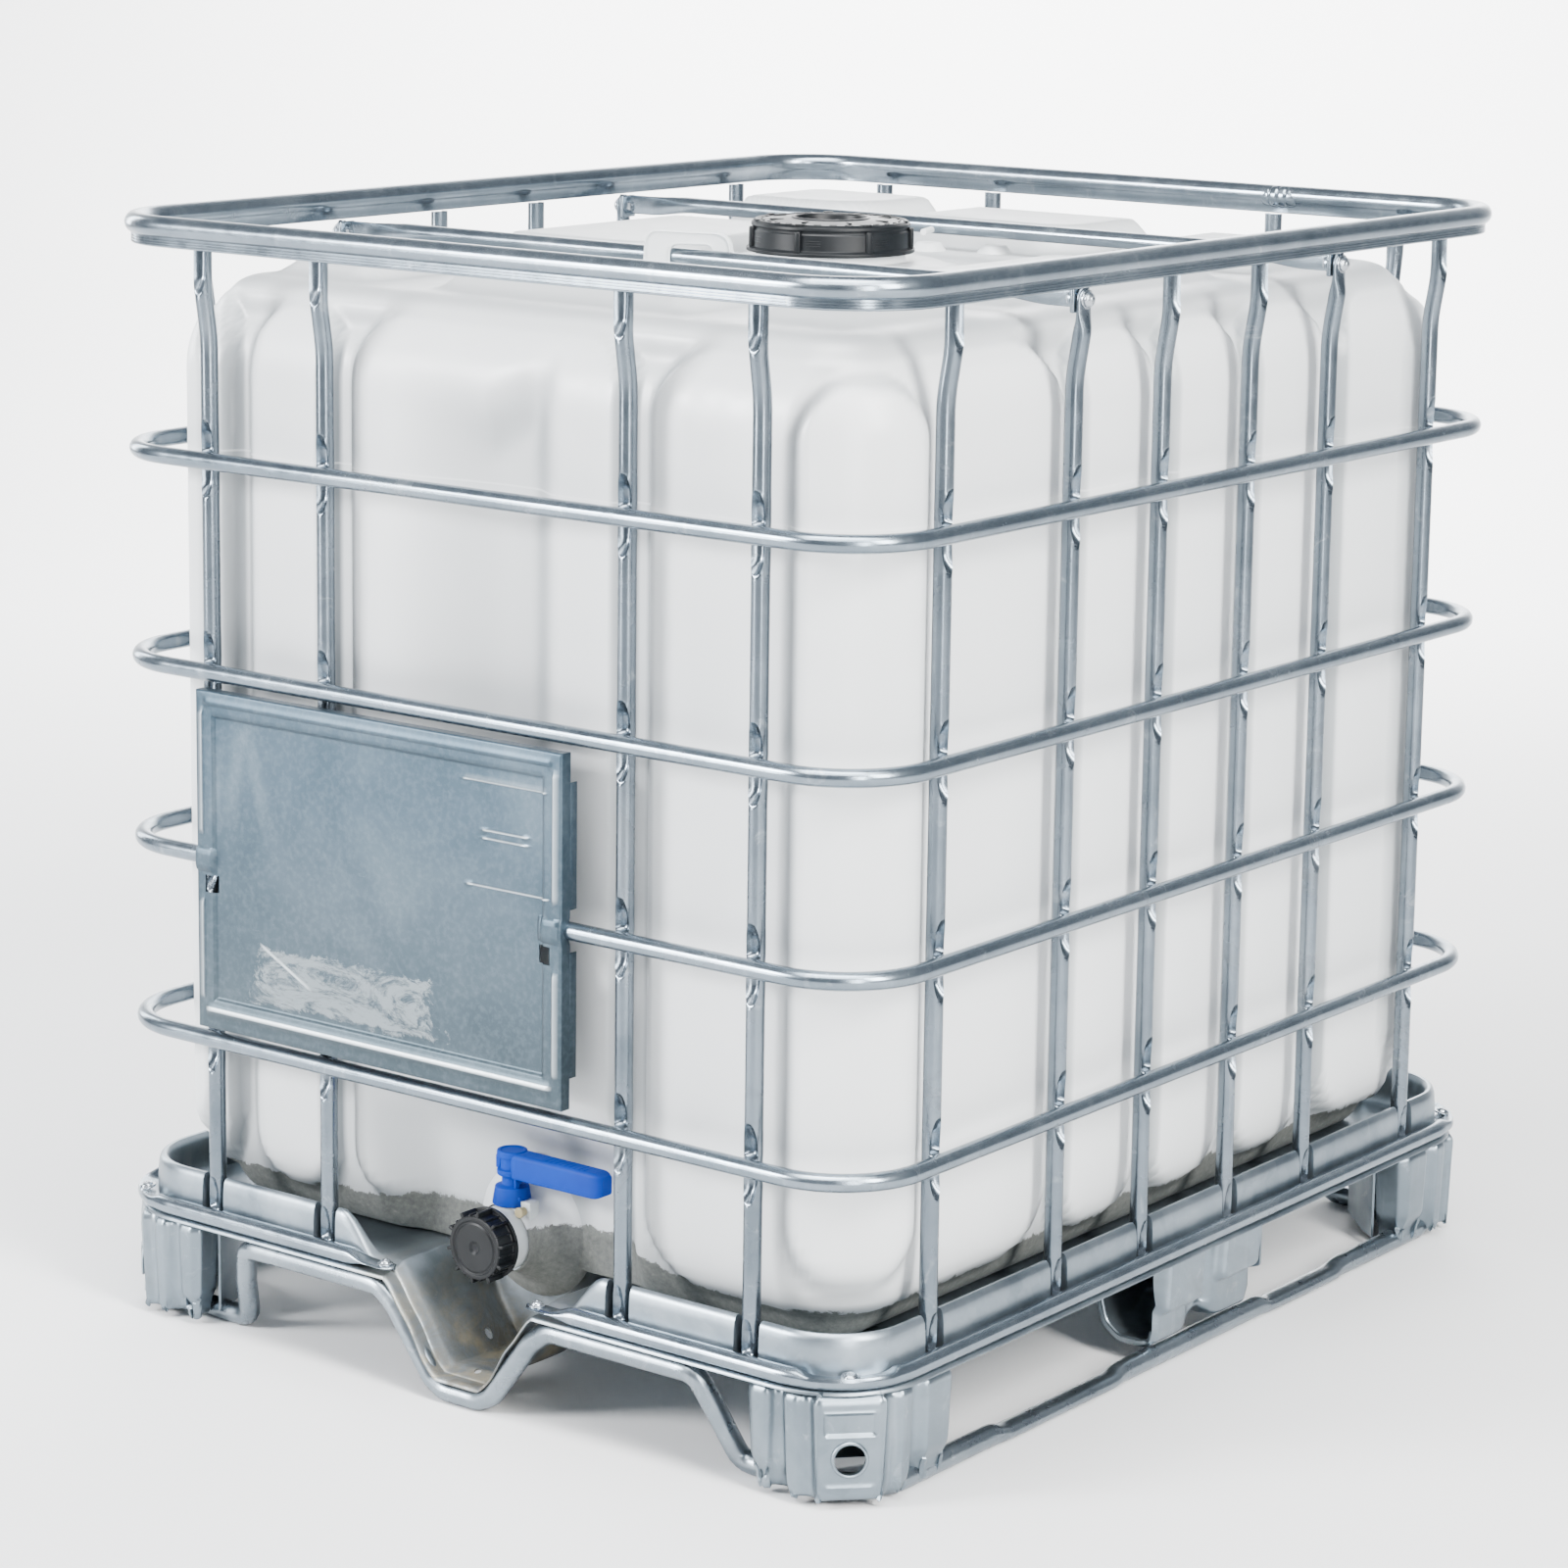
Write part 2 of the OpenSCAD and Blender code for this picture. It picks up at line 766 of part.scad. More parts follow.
// Fluted wall of a corner foot, for the corner at +X, -Y
foot_wall = [
  [foot_x0, -foot_hy + 34],
  [foot_x0, -foot_hy + 8],
  [foot_x0 + 8, -foot_hy],
  [foot_x0 + 26, -foot_hy],
  [foot_x0 + 32, -foot_hy + 6],
  [foot_x0 + 42, -foot_hy + 6],
  [foot_x0 + 48, -foot_hy],
  [foot_x0 + 60, -foot_hy],
  [foot_x0 + 66, -foot_hy + 5],
  [foot_x0 + 74, -foot_hy + 5],
  [foot_hx - foot_cut, -foot_hy],
  [foot_hx, -foot_hy + foot_cut],
  [foot_hx - 5, -foot_hy + foot_cut + 10],
  [foot_hx - 5, -foot_hy + foot_cut + 20],
  [foot_hx, -foot_hy + foot_cut + 26],
  [foot_hx, -foot_hy + foot_cut + 42],
  [foot_hx - 6, -foot_hy + foot_cut + 48],
  [foot_hx - 6, -foot_hy + foot_cut + 60],
  [foot_hx, -foot_hy + foot_cut + 66],
  [foot_hx, -foot_y0 - 8],
  [foot_hx - 8, -foot_y0],
  [foot_hx - 40, -foot_y0]
];

// The same wall drawn in by the sheet thickness, open towards the middle of the pallet
function drawn_in(p) = [
  p[0] + (p[0] < foot_x0 + 9 ? foot_t : -foot_t),
  p[1] + (p[1] > -foot_y0 - 9 ? -foot_t : foot_t)
];

module corner_foot() {
  color(steel)
    difference() {
      translate([0, 0, foot_z0]) linear_extrude(foot_z1 - foot_z0) polygon(foot_wall);
      translate([0, 0, foot_z0 - 1])
        linear_extrude(foot_z1 - foot_z0 - 1)
          polygon(concat([for (p = foot_wall) drawn_in(p)], [[foot_hx - 43, -390], [foot_x0 + 3, -390]]));
      translate([foot_hx - foot_cut / 2, -foot_hy + foot_cut / 2, foot_hole_z])
        rotate([0, 90, -45]) cylinder(r = foot_hole_r, h = 40, center = true);
      translate([rail_hx - rail_r - 2, -foot_y0 - 12, 0]) cube([rail_d + 4, 24, rail_d + 3]);
    }
}

module foot_front_right() {
  corner_foot();
}

module foot_front_left() {
  mirror([1, 0, 0]) corner_foot();
}

module foot_rear_right() {
  mirror([0, 1, 0]) corner_foot();
}

module foot_rear_left() {
  mirror([1, 0, 0]) mirror([0, 1, 0]) corner_foot();
}

// Foot under the middle of a long side: a bent sheet channel with two lobes pressed out of its outer wall
mid_section = [
  [400, foot_z1],
  [406, 60],
  [414, 34],
  [432, 22],
  [468, 22],
  [480, 28],
  [487, 44],
  [487, foot_z1],
  [484, foot_z1],
  [484, 45],
  [477.6, 30],
  [467, 25],
  [433, 25],
  [416.6, 35.8],
  [409, 60.8],
  [403, foot_z1]
];

module mid_foot() {
  color(steel) {
    translate([0, mid_y1, 0])
      rotate([90, 0, 0])
        linear_extrude(mid_y1 - mid_y0) polygon(mid_section);
    for (y = [mid_y0, mid_y1 - mid_lobe_w])
      translate([0, y, mid_lobe_z])
        linear_extrude(foot_z1 - mid_lobe_z)
          polygon([
            [foot_hx - 9, 0],
            [foot_hx - 4, 2],
            [foot_hx, 8],
            [foot_hx, mid_lobe_w - 8],
            [foot_hx - 4, mid_lobe_w - 2],
            [foot_hx - 9, mid_lobe_w]
          ]);
  }
}

module foot_mid_right() {
  mid_foot();
}

module foot_mid_left() {
  mirror([1, 0, 0]) mid_foot();
}

tank();
loop_front();
loop_rear();
fill_gasket();
fill_cap();
valve_body();
valve_stem();
valve_disc();
valve_lever();
lever_pin();
outlet_gasket();
outlet_cap();
top_rim();
ring_1();
ring_2();
ring_3();
ring_4();
bottom_ring();
posts_front();
posts_right();
posts_rear();
posts_left();
crossbar_front();
crossbar_rear();
crossbar_bolts();
crossbar_washers();
crossbar_nuts();
label_plate();
tray();
tray_screws();
base_rail();
foot_front_left();
foot_front_right();
foot_rear_left();
foot_rear_right();
foot_mid_left();
foot_mid_right();
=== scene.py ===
import math

import bmesh
import bpy
import numpy as np
from mathutils import Matrix, Vector


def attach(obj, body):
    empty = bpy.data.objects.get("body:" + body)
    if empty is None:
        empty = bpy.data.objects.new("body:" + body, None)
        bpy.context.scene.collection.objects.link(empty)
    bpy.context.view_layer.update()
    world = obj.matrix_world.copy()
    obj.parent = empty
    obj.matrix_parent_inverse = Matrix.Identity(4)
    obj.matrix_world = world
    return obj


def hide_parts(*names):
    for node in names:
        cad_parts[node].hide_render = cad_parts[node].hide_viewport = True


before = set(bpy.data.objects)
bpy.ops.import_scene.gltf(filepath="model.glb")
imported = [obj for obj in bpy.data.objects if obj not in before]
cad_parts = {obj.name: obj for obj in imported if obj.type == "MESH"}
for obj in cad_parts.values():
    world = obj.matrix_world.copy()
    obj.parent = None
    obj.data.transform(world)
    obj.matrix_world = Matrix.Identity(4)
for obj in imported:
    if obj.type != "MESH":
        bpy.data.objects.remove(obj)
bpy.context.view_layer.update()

# ---------------------------------------------------------------- sizes in metres
HX, HY = 0.5, 0.6  # half the footprint
# rings: tube radius, bend radius, half the size of the centre line, heights
RING_R, RING_CORNER = 0.009, 0.09
RING_HX, RING_HY = 0.4885, 0.5885
RING_Z = {"ring_1": 0.918, "ring_2": 0.702, "ring_3": 0.511, "ring_4": 0.318}
BOTTOM_RING_Z = 0.126
# how far the middle of a ring's bend lies inside its square corner
CORNER_IN = RING_CORNER * (1 - 0.7071)
CORNERS = ((1, -1), (1, 1), (-1, 1), (-1, -1))
# uprights: radius, distance of each side's row from the middle, ends, places along a side
POST_R = 0.009
POST_HX, POST_HY = 0.4702, 0.5702
POST_Z0, POST_TOP = 0.118, 1.1285
END_POSTS = (-0.351, -0.193, 0.193, 0.351)
SIDE_POSTS = (-0.45, -0.238, -0.082, 0.082, 0.238, 0.45)
# crossbars, rail, filling cap, outlet and its lever
BAR_R, BAR_Y, BAR_Z = 0.009, 0.238, 1.122
RAIL_R = 0.011
FILL_CAP_Z = 1.113
OUTLET_Z, OUTLET_CAP_Y = 0.159, -0.568
STEM_Y, LEVER_Z = -0.51, 0.236
# angle round from the front, angle up and roll of the fitted camera, in degrees
CAM_AZ, CAM_EL, CAM_ROLL = 36.95, 10.7, 0.82


# ---------------------------------------------------------------- small maths
def smooth(a, b, x):
    """0 below a, 1 above b, with a soft rise between them."""
    t = min(1.0, max(0.0, (x - a) / (b - a)))
    return t * t * (3 - 2 * t)


def fade(a, b, x):
    """1 below a, 0 above b."""
    return 1 - smooth(a, b, x)


def band(a0, a1, b0, b1, x):
    """Rises from a0 to a1 and falls from b0 to b1."""
    return smooth(a0, a1, x) * fade(b0, b1, x)


def bell(x, width):
    return math.exp(-(x / width) ** 2)


def mm(rows, lift=0.0):
    """Rows of millimetres as metres, with lift added to their last column."""
    return [(*(q / 1000 for q in row[:-1]), row[-1] / 1000 + lift) for row in rows]


def unit(v):
    """Vectors scaled to length one."""
    return v / np.linalg.norm(v, axis=-1, keepdims=True)


def distances(p):
    """Distance along a polyline at each of its points."""
    return np.concatenate([[0], np.cumsum(np.linalg.norm(np.diff(p, axis=0), axis=1))])


def fillet(pts, radii, n=8, closed=False):
    """Polyline with its corners rounded."""
    pts = [Vector(p).to_3d() for p in pts]
    count = len(pts)
    out = []
    for i, p in enumerate(pts):
        r = radii[i] if isinstance(radii, (list, tuple)) else radii
        if (not closed and i in (0, count - 1)) or r <= 0:
            out.append(p)
            continue
        u, v = pts[i - 1] - p, pts[(i + 1) % count] - p
        reach = min(u.length, v.length) * 0.49
        u.normalize()
        v.normalize()
        angle = u.angle(v)
        if angle > math.pi - 0.02:
            out.append(p)
            continue
        d = min(r / math.tan(angle / 2), reach)
        start, end = p + u * d, p + v * d
        for k in range(n + 1):
            t = k / n
            out.append(start * (1 - t) ** 2 + p * (2 * t * (1 - t)) + end * t * t)
    return out


def resample(pts, step):
    """Points at about equal spacing along a polyline."""
    p = np.array([tuple(q) for q in pts], float)
    p = p[np.concatenate([[True], np.linalg.norm(np.diff(p, axis=0), axis=1) > 1e-7])]
    s = distances(p)
    t = np.linspace(0, s[-1], max(2, round(s[-1] / step)) + 1)
    return np.stack([np.interp(t, s, p[:, k]) for k in range(3)], 1)


def rounded_rect(hx, hy, r, step):
    """Points and outward normals, counter-clockwise from the right side's front end."""
    sides = (
        ((hx, -hy + r), (hx, hy - r), (1, 0)), ((hx - r, hy), (-hx + r, hy), (0, 1)),
        ((-hx, hy - r), (-hx, -hy + r), (-1, 0)), ((-hx + r, -hy), (hx - r, -hy), (0, -1)))
    pts, nor = [], []
    for side, (a, b, n) in enumerate(sides):
        count = max(1, round(math.dist(a, b) / step))
        for i in range(count):
            t = i / count
            pts.append((a[0] + (b[0] - a[0]) * t, a[1] + (b[1] - a[1]) * t))
            nor.append(n)
        count = max(8, round(r * math.pi / 2 / step))
        for i in range(count):
            t = math.radians(90 * (side + i / count))
            nor.append((math.cos(t), math.sin(t)))
            pts.append((b[0] - n[0] * r + r * nor[-1][0], b[1] - n[1] * r + r * nor[-1][1]))
    return np.array(pts), np.array(nor)


def perimeter(p, n, hx, hy, r):
    """Distance round a rounded rectangle, from the right side's front end, of p with outward normal n."""
    quarter, turn = divmod(round(math.degrees(math.atan2(n[1], n[0])) % 360, 6), 90)
    quarter = int(quarter) % 4
    halves = (hy - r, hx - r, hy - r, hx - r)
    before = 2 * sum(halves[:quarter]) + quarter * r * math.pi / 2
    if turn:
        return before + 2 * halves[quarter] + r * math.radians(turn)
    return before + halves[quarter] + (p[1], -p[0], -p[1], p[0])[quarter]


# ---------------------------------------------------------------- mesh building
def make(name, verts, faces):
    me = bpy.data.meshes.new(name)
    me.from_pydata([tuple(map(float, v)) for v in verts], [], faces)
    me.validate()
    me.update()
    me.shade_smooth()
    o = bpy.data.objects.new(name, me)
    bpy.context.scene.collection.objects.link(o)
    return o


def take(o):
    """Vertices and faces of an object, which is then removed."""
    v = np.array([tuple(q.co) for q in o.data.vertices])
    f = [tuple(p.vertices) for p in o.data.polygons]
    bpy.data.objects.remove(o, do_unlink=True)
    return v, f


def grid_faces(rows, cols, wrap_r=False, wrap_c=False):
    f = []
    for i in range(rows if wrap_r else rows - 1):
        for j in range(cols if wrap_c else cols - 1):
            a, d = i * cols, (i + 1) % rows * cols
            k = (j + 1) % cols
            f.append((a + j, a + k, d + k, d + j))
    return f


def close_ends(v, faces, m):
    """Adds fans of triangles over the first and the last m points."""
    v = np.asarray(v, float)
    k = len(v)
    for j in range(m):
        q = (j + 1) % m
        faces += [(k, q, j), (k + 1, k - m + j, k - m + q)]
    return np.vstack([v, v[:m].mean(0), v[-m:].mean(0)]), faces


def sweep(path, section, up, closed=False):
    """Sweeps a section of (a, b) points, or a function of the sample that gives one, along a path.
    a runs along up, b along the binormal."""
    p = np.asarray([tuple(q) for q in path], float)
    tan = unit(np.roll(p, -1, 0) - np.roll(p, 1, 0) if closed else np.gradient(p, axis=0))
    nor = np.broadcast_to(np.asarray(up, float), p.shape)
    nor = unit(nor - tan * (nor * tan).sum(1, keepdims=True))
    across = np.cross(tan, nor)
    rows = []
    for i, q in enumerate(p):
        sec = np.asarray(section(i) if callable(section) else section, float)
        rows.append(q + sec[:, :1] * nor[i] + sec[:, 1:] * across[i])
    m = len(rows[0])
    v, faces = np.vstack(rows), grid_faces(len(p), m, wrap_r=closed, wrap_c=True)
    return (v, faces) if closed else close_ends(v, faces, m)


def fix_normals(o, weld=0.0):
    bm = bmesh.new()
    bm.from_mesh(o.data)
    if weld:
        bmesh.ops.remove_doubles(bm, verts=bm.verts, dist=weld)
    bmesh.ops.recalc_face_normals(bm, faces=bm.faces)
    bm.to_mesh(o.data)
    bm.free()
    return o


def merge(name, parts):
    """One object from several (verts, faces) sets."""
    vs, fs, k = [], [], 0
    for v, f in parts:
        vs.append(np.asarray(v, float))
        fs += [tuple(i + k for i in q) for q in f]
        k += len(v)
    return fix_normals(make(name, np.vstack(vs), fs))


def circle(r, n=20, squash=1.0):
    turns = [2 * math.pi * k / n for k in range(n)]
    return [(r * squash * math.cos(t), r * math.sin(t)) for t in turns]


def turned(profile, n, axis="z", origin=(0, 0, 0), capped=True):
    """Surface of revolution of [(r, h), ...]."""
    v = np.array([(x, y, h) for r, h in profile for x, y in circle(r, n)])
    faces = grid_faces(len(profile), n, wrap_c=True)
    if capped:
        v, faces = close_ends(v, faces, n)
    columns = {"z": (v[:, 0], v[:, 1], v[:, 2]), "-y": (v[:, 0], -v[:, 2], v[:, 1]),
               "x": (v[:, 2], v[:, 0], v[:, 1])}[axis]
    return np.stack(columns, 1) + np.array(origin, float), faces


def hoop(profile, n, **where):
    """Closed section turned about an axis."""
    return turned(profile + profile[:1], n, capped=False, **where)


def rounded(profile, r, n=3):
    """Profile in (r, h) with its corners rounded."""
    return [(q.x, q.y) for q in fillet(profile, r, n)]


def block(size, centre, bevel, segs=3):
    bm = bmesh.new()
    bmesh.ops.create_cube(bm, size=1.0)
    bmesh.ops.scale(bm, vec=size, verts=bm.verts)
    bmesh.ops.bevel(bm, geom=bm.edges[:], offset=bevel, segments=segs, profile=0.5, affect="EDGES")
    bmesh.ops.translate(bm, vec=centre, verts=bm.verts)
    bm.verts.index_update()
    v = np.array([tuple(q.co) for q in bm.verts])
    f = [tuple(q.index for q in face.verts) for face in bm.faces]
    bm.free()
    return v, f


def shift(x, y, z):
    return Matrix.Translation((x, y, z))


def spin(degrees, axis="Z"):
    return Matrix.Rotation(math.radians(degrees), 4, axis)


def place(data, matrix):
    v, f = data
    return (np.hstack([v, np.ones((len(v), 1))]) @ np.array(matrix).T)[:, :3], f


def apply_modifiers(o):
    dg = bpy.context.evaluated_depsgraph_get()
    me = bpy.data.meshes.new_from_object(o.evaluated_get(dg))
    o.modifiers.clear()
    old, o.data = o.data, me
    bpy.data.meshes.remove(old)


def cut(o, cutter):
    m = o.modifiers.new("cut", "BOOLEAN")
    m.object = cutter
    m.operation = "DIFFERENCE"
    m.solver = "EXACT"
    apply_modifiers(o)
    bpy.data.objects.remove(cutter, do_unlink=True)


def thicken(o, t, axis, sign=1, beyond=-math.inf):
    """Gives a sheet its thickness. Its faces past a coordinate look out along sign times the axis."""
    if sum(sign * p.normal[axis] * p.area for p in o.data.polygons if p.center[axis] > beyond) < 0:
        o.data.flip_normals()
    m = o.modifiers.new("sheet", "SOLIDIFY")
    m.thickness = t
    m.offset = -1.0
    apply_modifiers(o)


def finish_piece(o, look, node, body="container", auto=35):
    """Material, edge shading and body of a piece; hides the CAD node it replaces."""
    o.data.materials.clear()
    o.data.materials.append(M[look])
    if auto:
        o.data.shade_smooth()
        bm = bmesh.new()
        bm.from_mesh(o.data)
        for e in bm.edges:
            if len(e.link_faces) == 2 and e.calc_face_angle(0) > math.radians(auto):
                e.smooth = False
        bm.to_mesh(o.data)
        bm.free()
    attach(o, body)
    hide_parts(node)


def piece(name, parts, look, node, **kind):
    finish_piece(merge(name, parts), look, node, **kind)


def note_tone(o, attribute, tone):
    """Stores a tone for the first vertices, which the piece's material reads."""
    full = np.zeros(len(o.data.vertices))
    full[:len(tone)] = tone
    o.data.attributes.new(attribute, "FLOAT", "POINT").data.foreach_set("value", full)


# ---------------------------------------------------------------- materials
class Nodes:
    """Shorthand for building one material's node tree."""

    def __init__(self, name):
        self.mat = bpy.data.materials.new(name)
        self.mat.use_nodes = True
        self.tree = self.mat.node_tree
        self.bsdf = next(n for n in self.tree.nodes if n.type == "BSDF_PRINCIPLED")
        self.co = self.new("TexCoord").outputs["Object"]

    def new(self, kind, **inputs):
        n = self.tree.nodes.new("ShaderNode" + kind)
        for key, v in inputs.items():
            self.put(n.inputs[key.replace("_", " ")], v)
        return n

    def put(self, socket, v):
        if isinstance(v, bpy.types.NodeSocket):
            self.tree.links.new(v, socket)
        else:
            socket.default_value = v

    def noise(self, scale, detail=4.0, rough=0.55, distort=0.0, stretch=None):
        co = self.co
        if stretch:
            co = self.new("Mapping", Vector=co, Scale=stretch).outputs["Vector"]
        return self.new("TexNoise", Vector=co, Scale=scale, Detail=detail, Roughness=rough,
                        Distortion=distort).outputs["Fac"]

    def spangle(self, scale):
        """A random value for each crystal of the zinc."""
        cells = self.new("TexVoronoi", Vector=self.co, Scale=scale)
        return self.axes(cells.outputs["Color"])[0]

    def ramp(self, fac, stops):
        n = self.new("ValToRGB", Fac=fac)
        el = n.color_ramp.elements
        while len(el) < len(stops):
            el.new(0.5)
        for e, (pos, col) in zip(el, stops):
            e.position = pos
            e.color = (*col, 1.0)
        return n.outputs["Color"]

    def span(self, fac, a0, a1, b0, b1):
        return self.new("MapRange", Value=fac, From_Min=a0, From_Max=a1, To_Min=b0,
                        To_Max=b1).outputs["Result"]

    def math(self, op, a, b=0.0):
        n = self.new("Math")
        n.operation = op
        self.put(n.inputs[0], a)
        self.put(n.inputs[1], b)
        return n.outputs[0]

    def times(self, a, b):
        return self.math("MULTIPLY", a, b)

    def plus(self, a, b):
        return self.math("ADD", a, b)

    def off(self, v, centre):
        """Distance of a value from a centre."""
        return self.math("ABSOLUTE", self.math("SUBTRACT", v, centre))

    def mix(self, fac, a, b):
        n = self.new("Mix")
        n.data_type = "RGBA"
        self.put(n.inputs["Factor"], fac)
        for socket, v in ((6, a), (7, b)):
            self.put(n.inputs[socket], (*v, 1.0) if isinstance(v, tuple) else v)
        return n.outputs[2]

    def attribute(self, name):
        n = self.new("Attribute")
        n.attribute_name = name
        return n.outputs["Fac"]

    def bump(self, height, strength, distance, chain=None):
        n = self.new("Bump", Height=height, Strength=strength, Distance=distance)
        if chain is not None:
            self.put(n.inputs["Normal"], chain)
        return n.outputs["Normal"]

    def axes(self, vector=None):
        return self.new("SeparateXYZ", Vector=vector or self.co).outputs

    def out(self, **inputs):
        for key, v in inputs.items():
            self.put(self.bsdf.inputs[key.replace("_", " ")], v)
        return self.mat


def galvanised(name, dark, light, rough, grime, scale=1.0, metal=0.92, spangle=0.35):
    """Weathered zinc: blue-grey mottle, faint spangle, pale specks, grime and fine scratches."""
    n = Nodes(name)
    cloud = n.noise(7.0 * scale, 5.0, 0.6, 0.4)
    fine = n.noise(60.0 * scale, 4.0, 0.5)
    col = n.ramp(cloud, [(0.25, dark), (0.75, light)])
    col = n.mix(n.span(n.spangle(34.0 * scale), 0, 1, 0.0, spangle * 0.6), col, light)
    bloom = n.span(n.noise(38.0 * scale, 5.0, 0.66, 1.0), 0.6, 0.76, 0.0, 0.26)
    col = n.mix(bloom, col, (0.62, 0.66, 0.69))
    dark_patch = n.span(n.noise(7.0 * scale, 5.0, 0.62, 0.8), 0.58, 0.8, 0.0, grime)
    col = n.mix(dark_patch, col, (0.06, 0.055, 0.045))
    streaks = n.span(n.noise(60.0, 3.0, 0.6, 0.0, (1.0, 1.0, 0.06)), 0.6, 0.72, 0.0, 0.12)
    col = n.mix(streaks, col, (0.6, 0.64, 0.67))
    r = n.plus(n.span(fine, 0.3, 0.7, rough - 0.03, rough + 0.06), n.times(dark_patch, 0.3))
    b = n.bump(fine, 0.04, 0.0004)
    b = n.bump(n.noise(16.0 * scale, 3.0, 0.5), 0.06, 0.002, b)
    m = n.span(dark_patch, 0.0, 0.5, metal, metal * 0.65)
    return n.out(Base_Color=col, Roughness=r, Normal=b, Metallic=m)


def plastic(name, base, light, rough, scratch, dust, dust_col, shine=0.32):
    """Moulded plastic: fine grain, slight tone drift, scuffs and settled dust."""
    n = Nodes(name)
    drift = n.noise(14.0, 4.0, 0.6)
    col = n.ramp(drift, [(0.3, base), (0.75, light)])
    scuff = n.span(n.noise(180.0, 6.0, 0.75, 2.0, (1.0, 1.0, 0.25)), 0.66, 0.76, 0.0, scratch)
    col = n.mix(scuff, col, dust_col)
    powder = n.span(n.noise(40.0, 5.0, 0.7), 0.55, 0.8, 0.0, dust)
    col = n.mix(powder, col, dust_col)
    r = n.plus(n.span(drift, 0.3, 0.7, rough - 0.05, rough + 0.06), n.times(powder, 0.6))
    b = n.bump(n.noise(900.0, 2.0, 0.5), 0.12, 0.0003)
    b = n.bump(scuff, 0.08, 0.0004, b)
    return n.out(Base_Color=col, Roughness=r, Normal=b, Specular_IOR_Level=shine)


def tank_plastic():
    """Natural polyethylene: milky and waxy, with a dark, grainy band where it stands in the tray."""
    n = Nodes("polyethylene_natural")
    x, y, z = n.axes()
    tone = n.noise(2.2, 4.0, 0.55)
    col = n.ramp(tone, [(0.25, (0.74, 0.765, 0.775)), (0.75, (0.82, 0.835, 0.84))])
    col = n.mix(n.span(z, 0.13, 0.42, 0.45, 0.0), col, (0.62, 0.645, 0.645))
    # painted shade: the wall is greyed in its grooves and hollows and where it is steep
    col = n.mix(n.attribute("drawn"), col, (0.2, 0.225, 0.24))
    # painted shade: the faces that look up are greyed
    facing = n.axes(n.new("NewGeometry").outputs["Normal"])[2]
    col = n.mix(n.span(facing, 0.55, 0.97, 0.0, 0.72), col, (0.37, 0.395, 0.41))
    marks = n.span(n.noise(7.0, 6.0, 0.75, 1.5, (1.0, 1.0, 0.35)), 0.66, 0.78, 0.0, 0.18)
    col = n.mix(marks, col, (0.6, 0.61, 0.6))
    # level line left by the blow mould
    line = n.times(n.span(n.off(z, 0.922), 0.0006, 0.0014, 0.35, 0.0), n.span(tone, 0.42, 0.55, 0.0, 1.0))
    col = n.mix(line, col, (0.92, 0.93, 0.93))
    # dark, grainy band along the foot of the tank: higher beside the valve's recess, ragged along its upper
    # edge
    beside = n.times(n.span(y, -0.47, -0.44, 1.0, 0.0), n.span(n.off(x, 0.0), 0.16, 0.2, 1.0, 0.0))
    ragged = n.plus(n.span(n.noise(46.0, 7.0, 0.78, 0.4), 0.3, 0.7, -0.006, 0.006),
                    n.span(n.noise(5.0, 2.0, 0.5), 0.3, 0.7, -0.006, 0.006))
    top = n.plus(n.plus(n.times(beside, 0.004), 0.1665), ragged)
    dark_patch = n.span(n.math("SUBTRACT", top, z), -0.0006, 0.0014, 0.0, 0.92)
    band_grain = n.ramp(n.noise(150.0, 6.0, 0.8), [
        (0.3, (0.045, 0.05, 0.044)), (0.6, (0.125, 0.13, 0.115)), (0.8, (0.26, 0.25, 0.215))])
    col = n.mix(dark_patch, col, band_grain)
    r = n.plus(n.span(n.noise(30.0, 4.0, 0.6), 0.3, 0.7, 0.3, 0.42), n.times(dark_patch, 0.4))
    b = n.bump(n.noise(5.0, 2.0, 0.5), 0.2, 0.006)
    b = n.bump(n.noise(420.0, 3.0, 0.5), 0.05, 0.0004, b)
    return n.out(Base_Color=col, Roughness=r, Normal=b, Subsurface_Weight=0.06,
                 Subsurface_Radius=(0.03, 0.032, 0.034), Subsurface_Scale=0.4)


def tray_steel():
    """Steel of the tray and trough: galvanised, with brown dried spills low in the trough."""
    n = Nodes("tray_sheet")
    x, y, z = n.axes()
    cloud = n.noise(9.0, 5.0, 0.6, 0.6)
    col = n.ramp(cloud, [(0.28, (0.125, 0.158, 0.186)), (0.74, (0.27, 0.315, 0.352))])
    col = n.mix(n.span(n.spangle(60.0), 0, 1, 0, 0.2), col, (0.34, 0.38, 0.41))
    trough = n.times(n.span(y, -0.47, -0.41, 1.0, 0.0), n.span(n.off(x, 0.0), 0.115, 0.16, 1.0, 0.0))
    low = n.times(n.span(z, 0.04, 0.122, 1.0, 0.25), trough)
    spill = n.times(low, n.span(n.noise(22.0, 6.0, 0.75, 1.5), 0.34, 0.6, 0.3, 1.0))
    col = n.mix(n.times(spill, 0.85), col, (0.092, 0.078, 0.05))
    mud = n.times(low, n.span(n.noise(14.0, 5.0, 0.7, 0.8), 0.48, 0.66, 0.0, 0.72))
    col = n.mix(mud, col, (0.33, 0.285, 0.185))
    chalk = n.times(n.span(z, 0.03, 0.125, 1.0, 0.3),
                    n.span(n.noise(70.0, 6.0, 0.8, 1.0), 0.62, 0.72, 0.0, 0.6))
    col = n.mix(n.times(chalk, trough), col, (0.58, 0.56, 0.5))
    r = n.plus(n.span(cloud, 0.3, 0.7, 0.28, 0.4), n.times(spill, 0.25))
    m = n.span(spill, 0.0, 1.0, 0.9, 0.35)
    b = n.bump(n.noise(110.0, 4.0, 0.6), 0.1, 0.0007)
    b = n.bump(n.noise(18.0, 3.0, 0.5), 0.16, 0.004, b)
    return n.out(Base_Color=col, Roughness=r, Normal=b, Metallic=m)


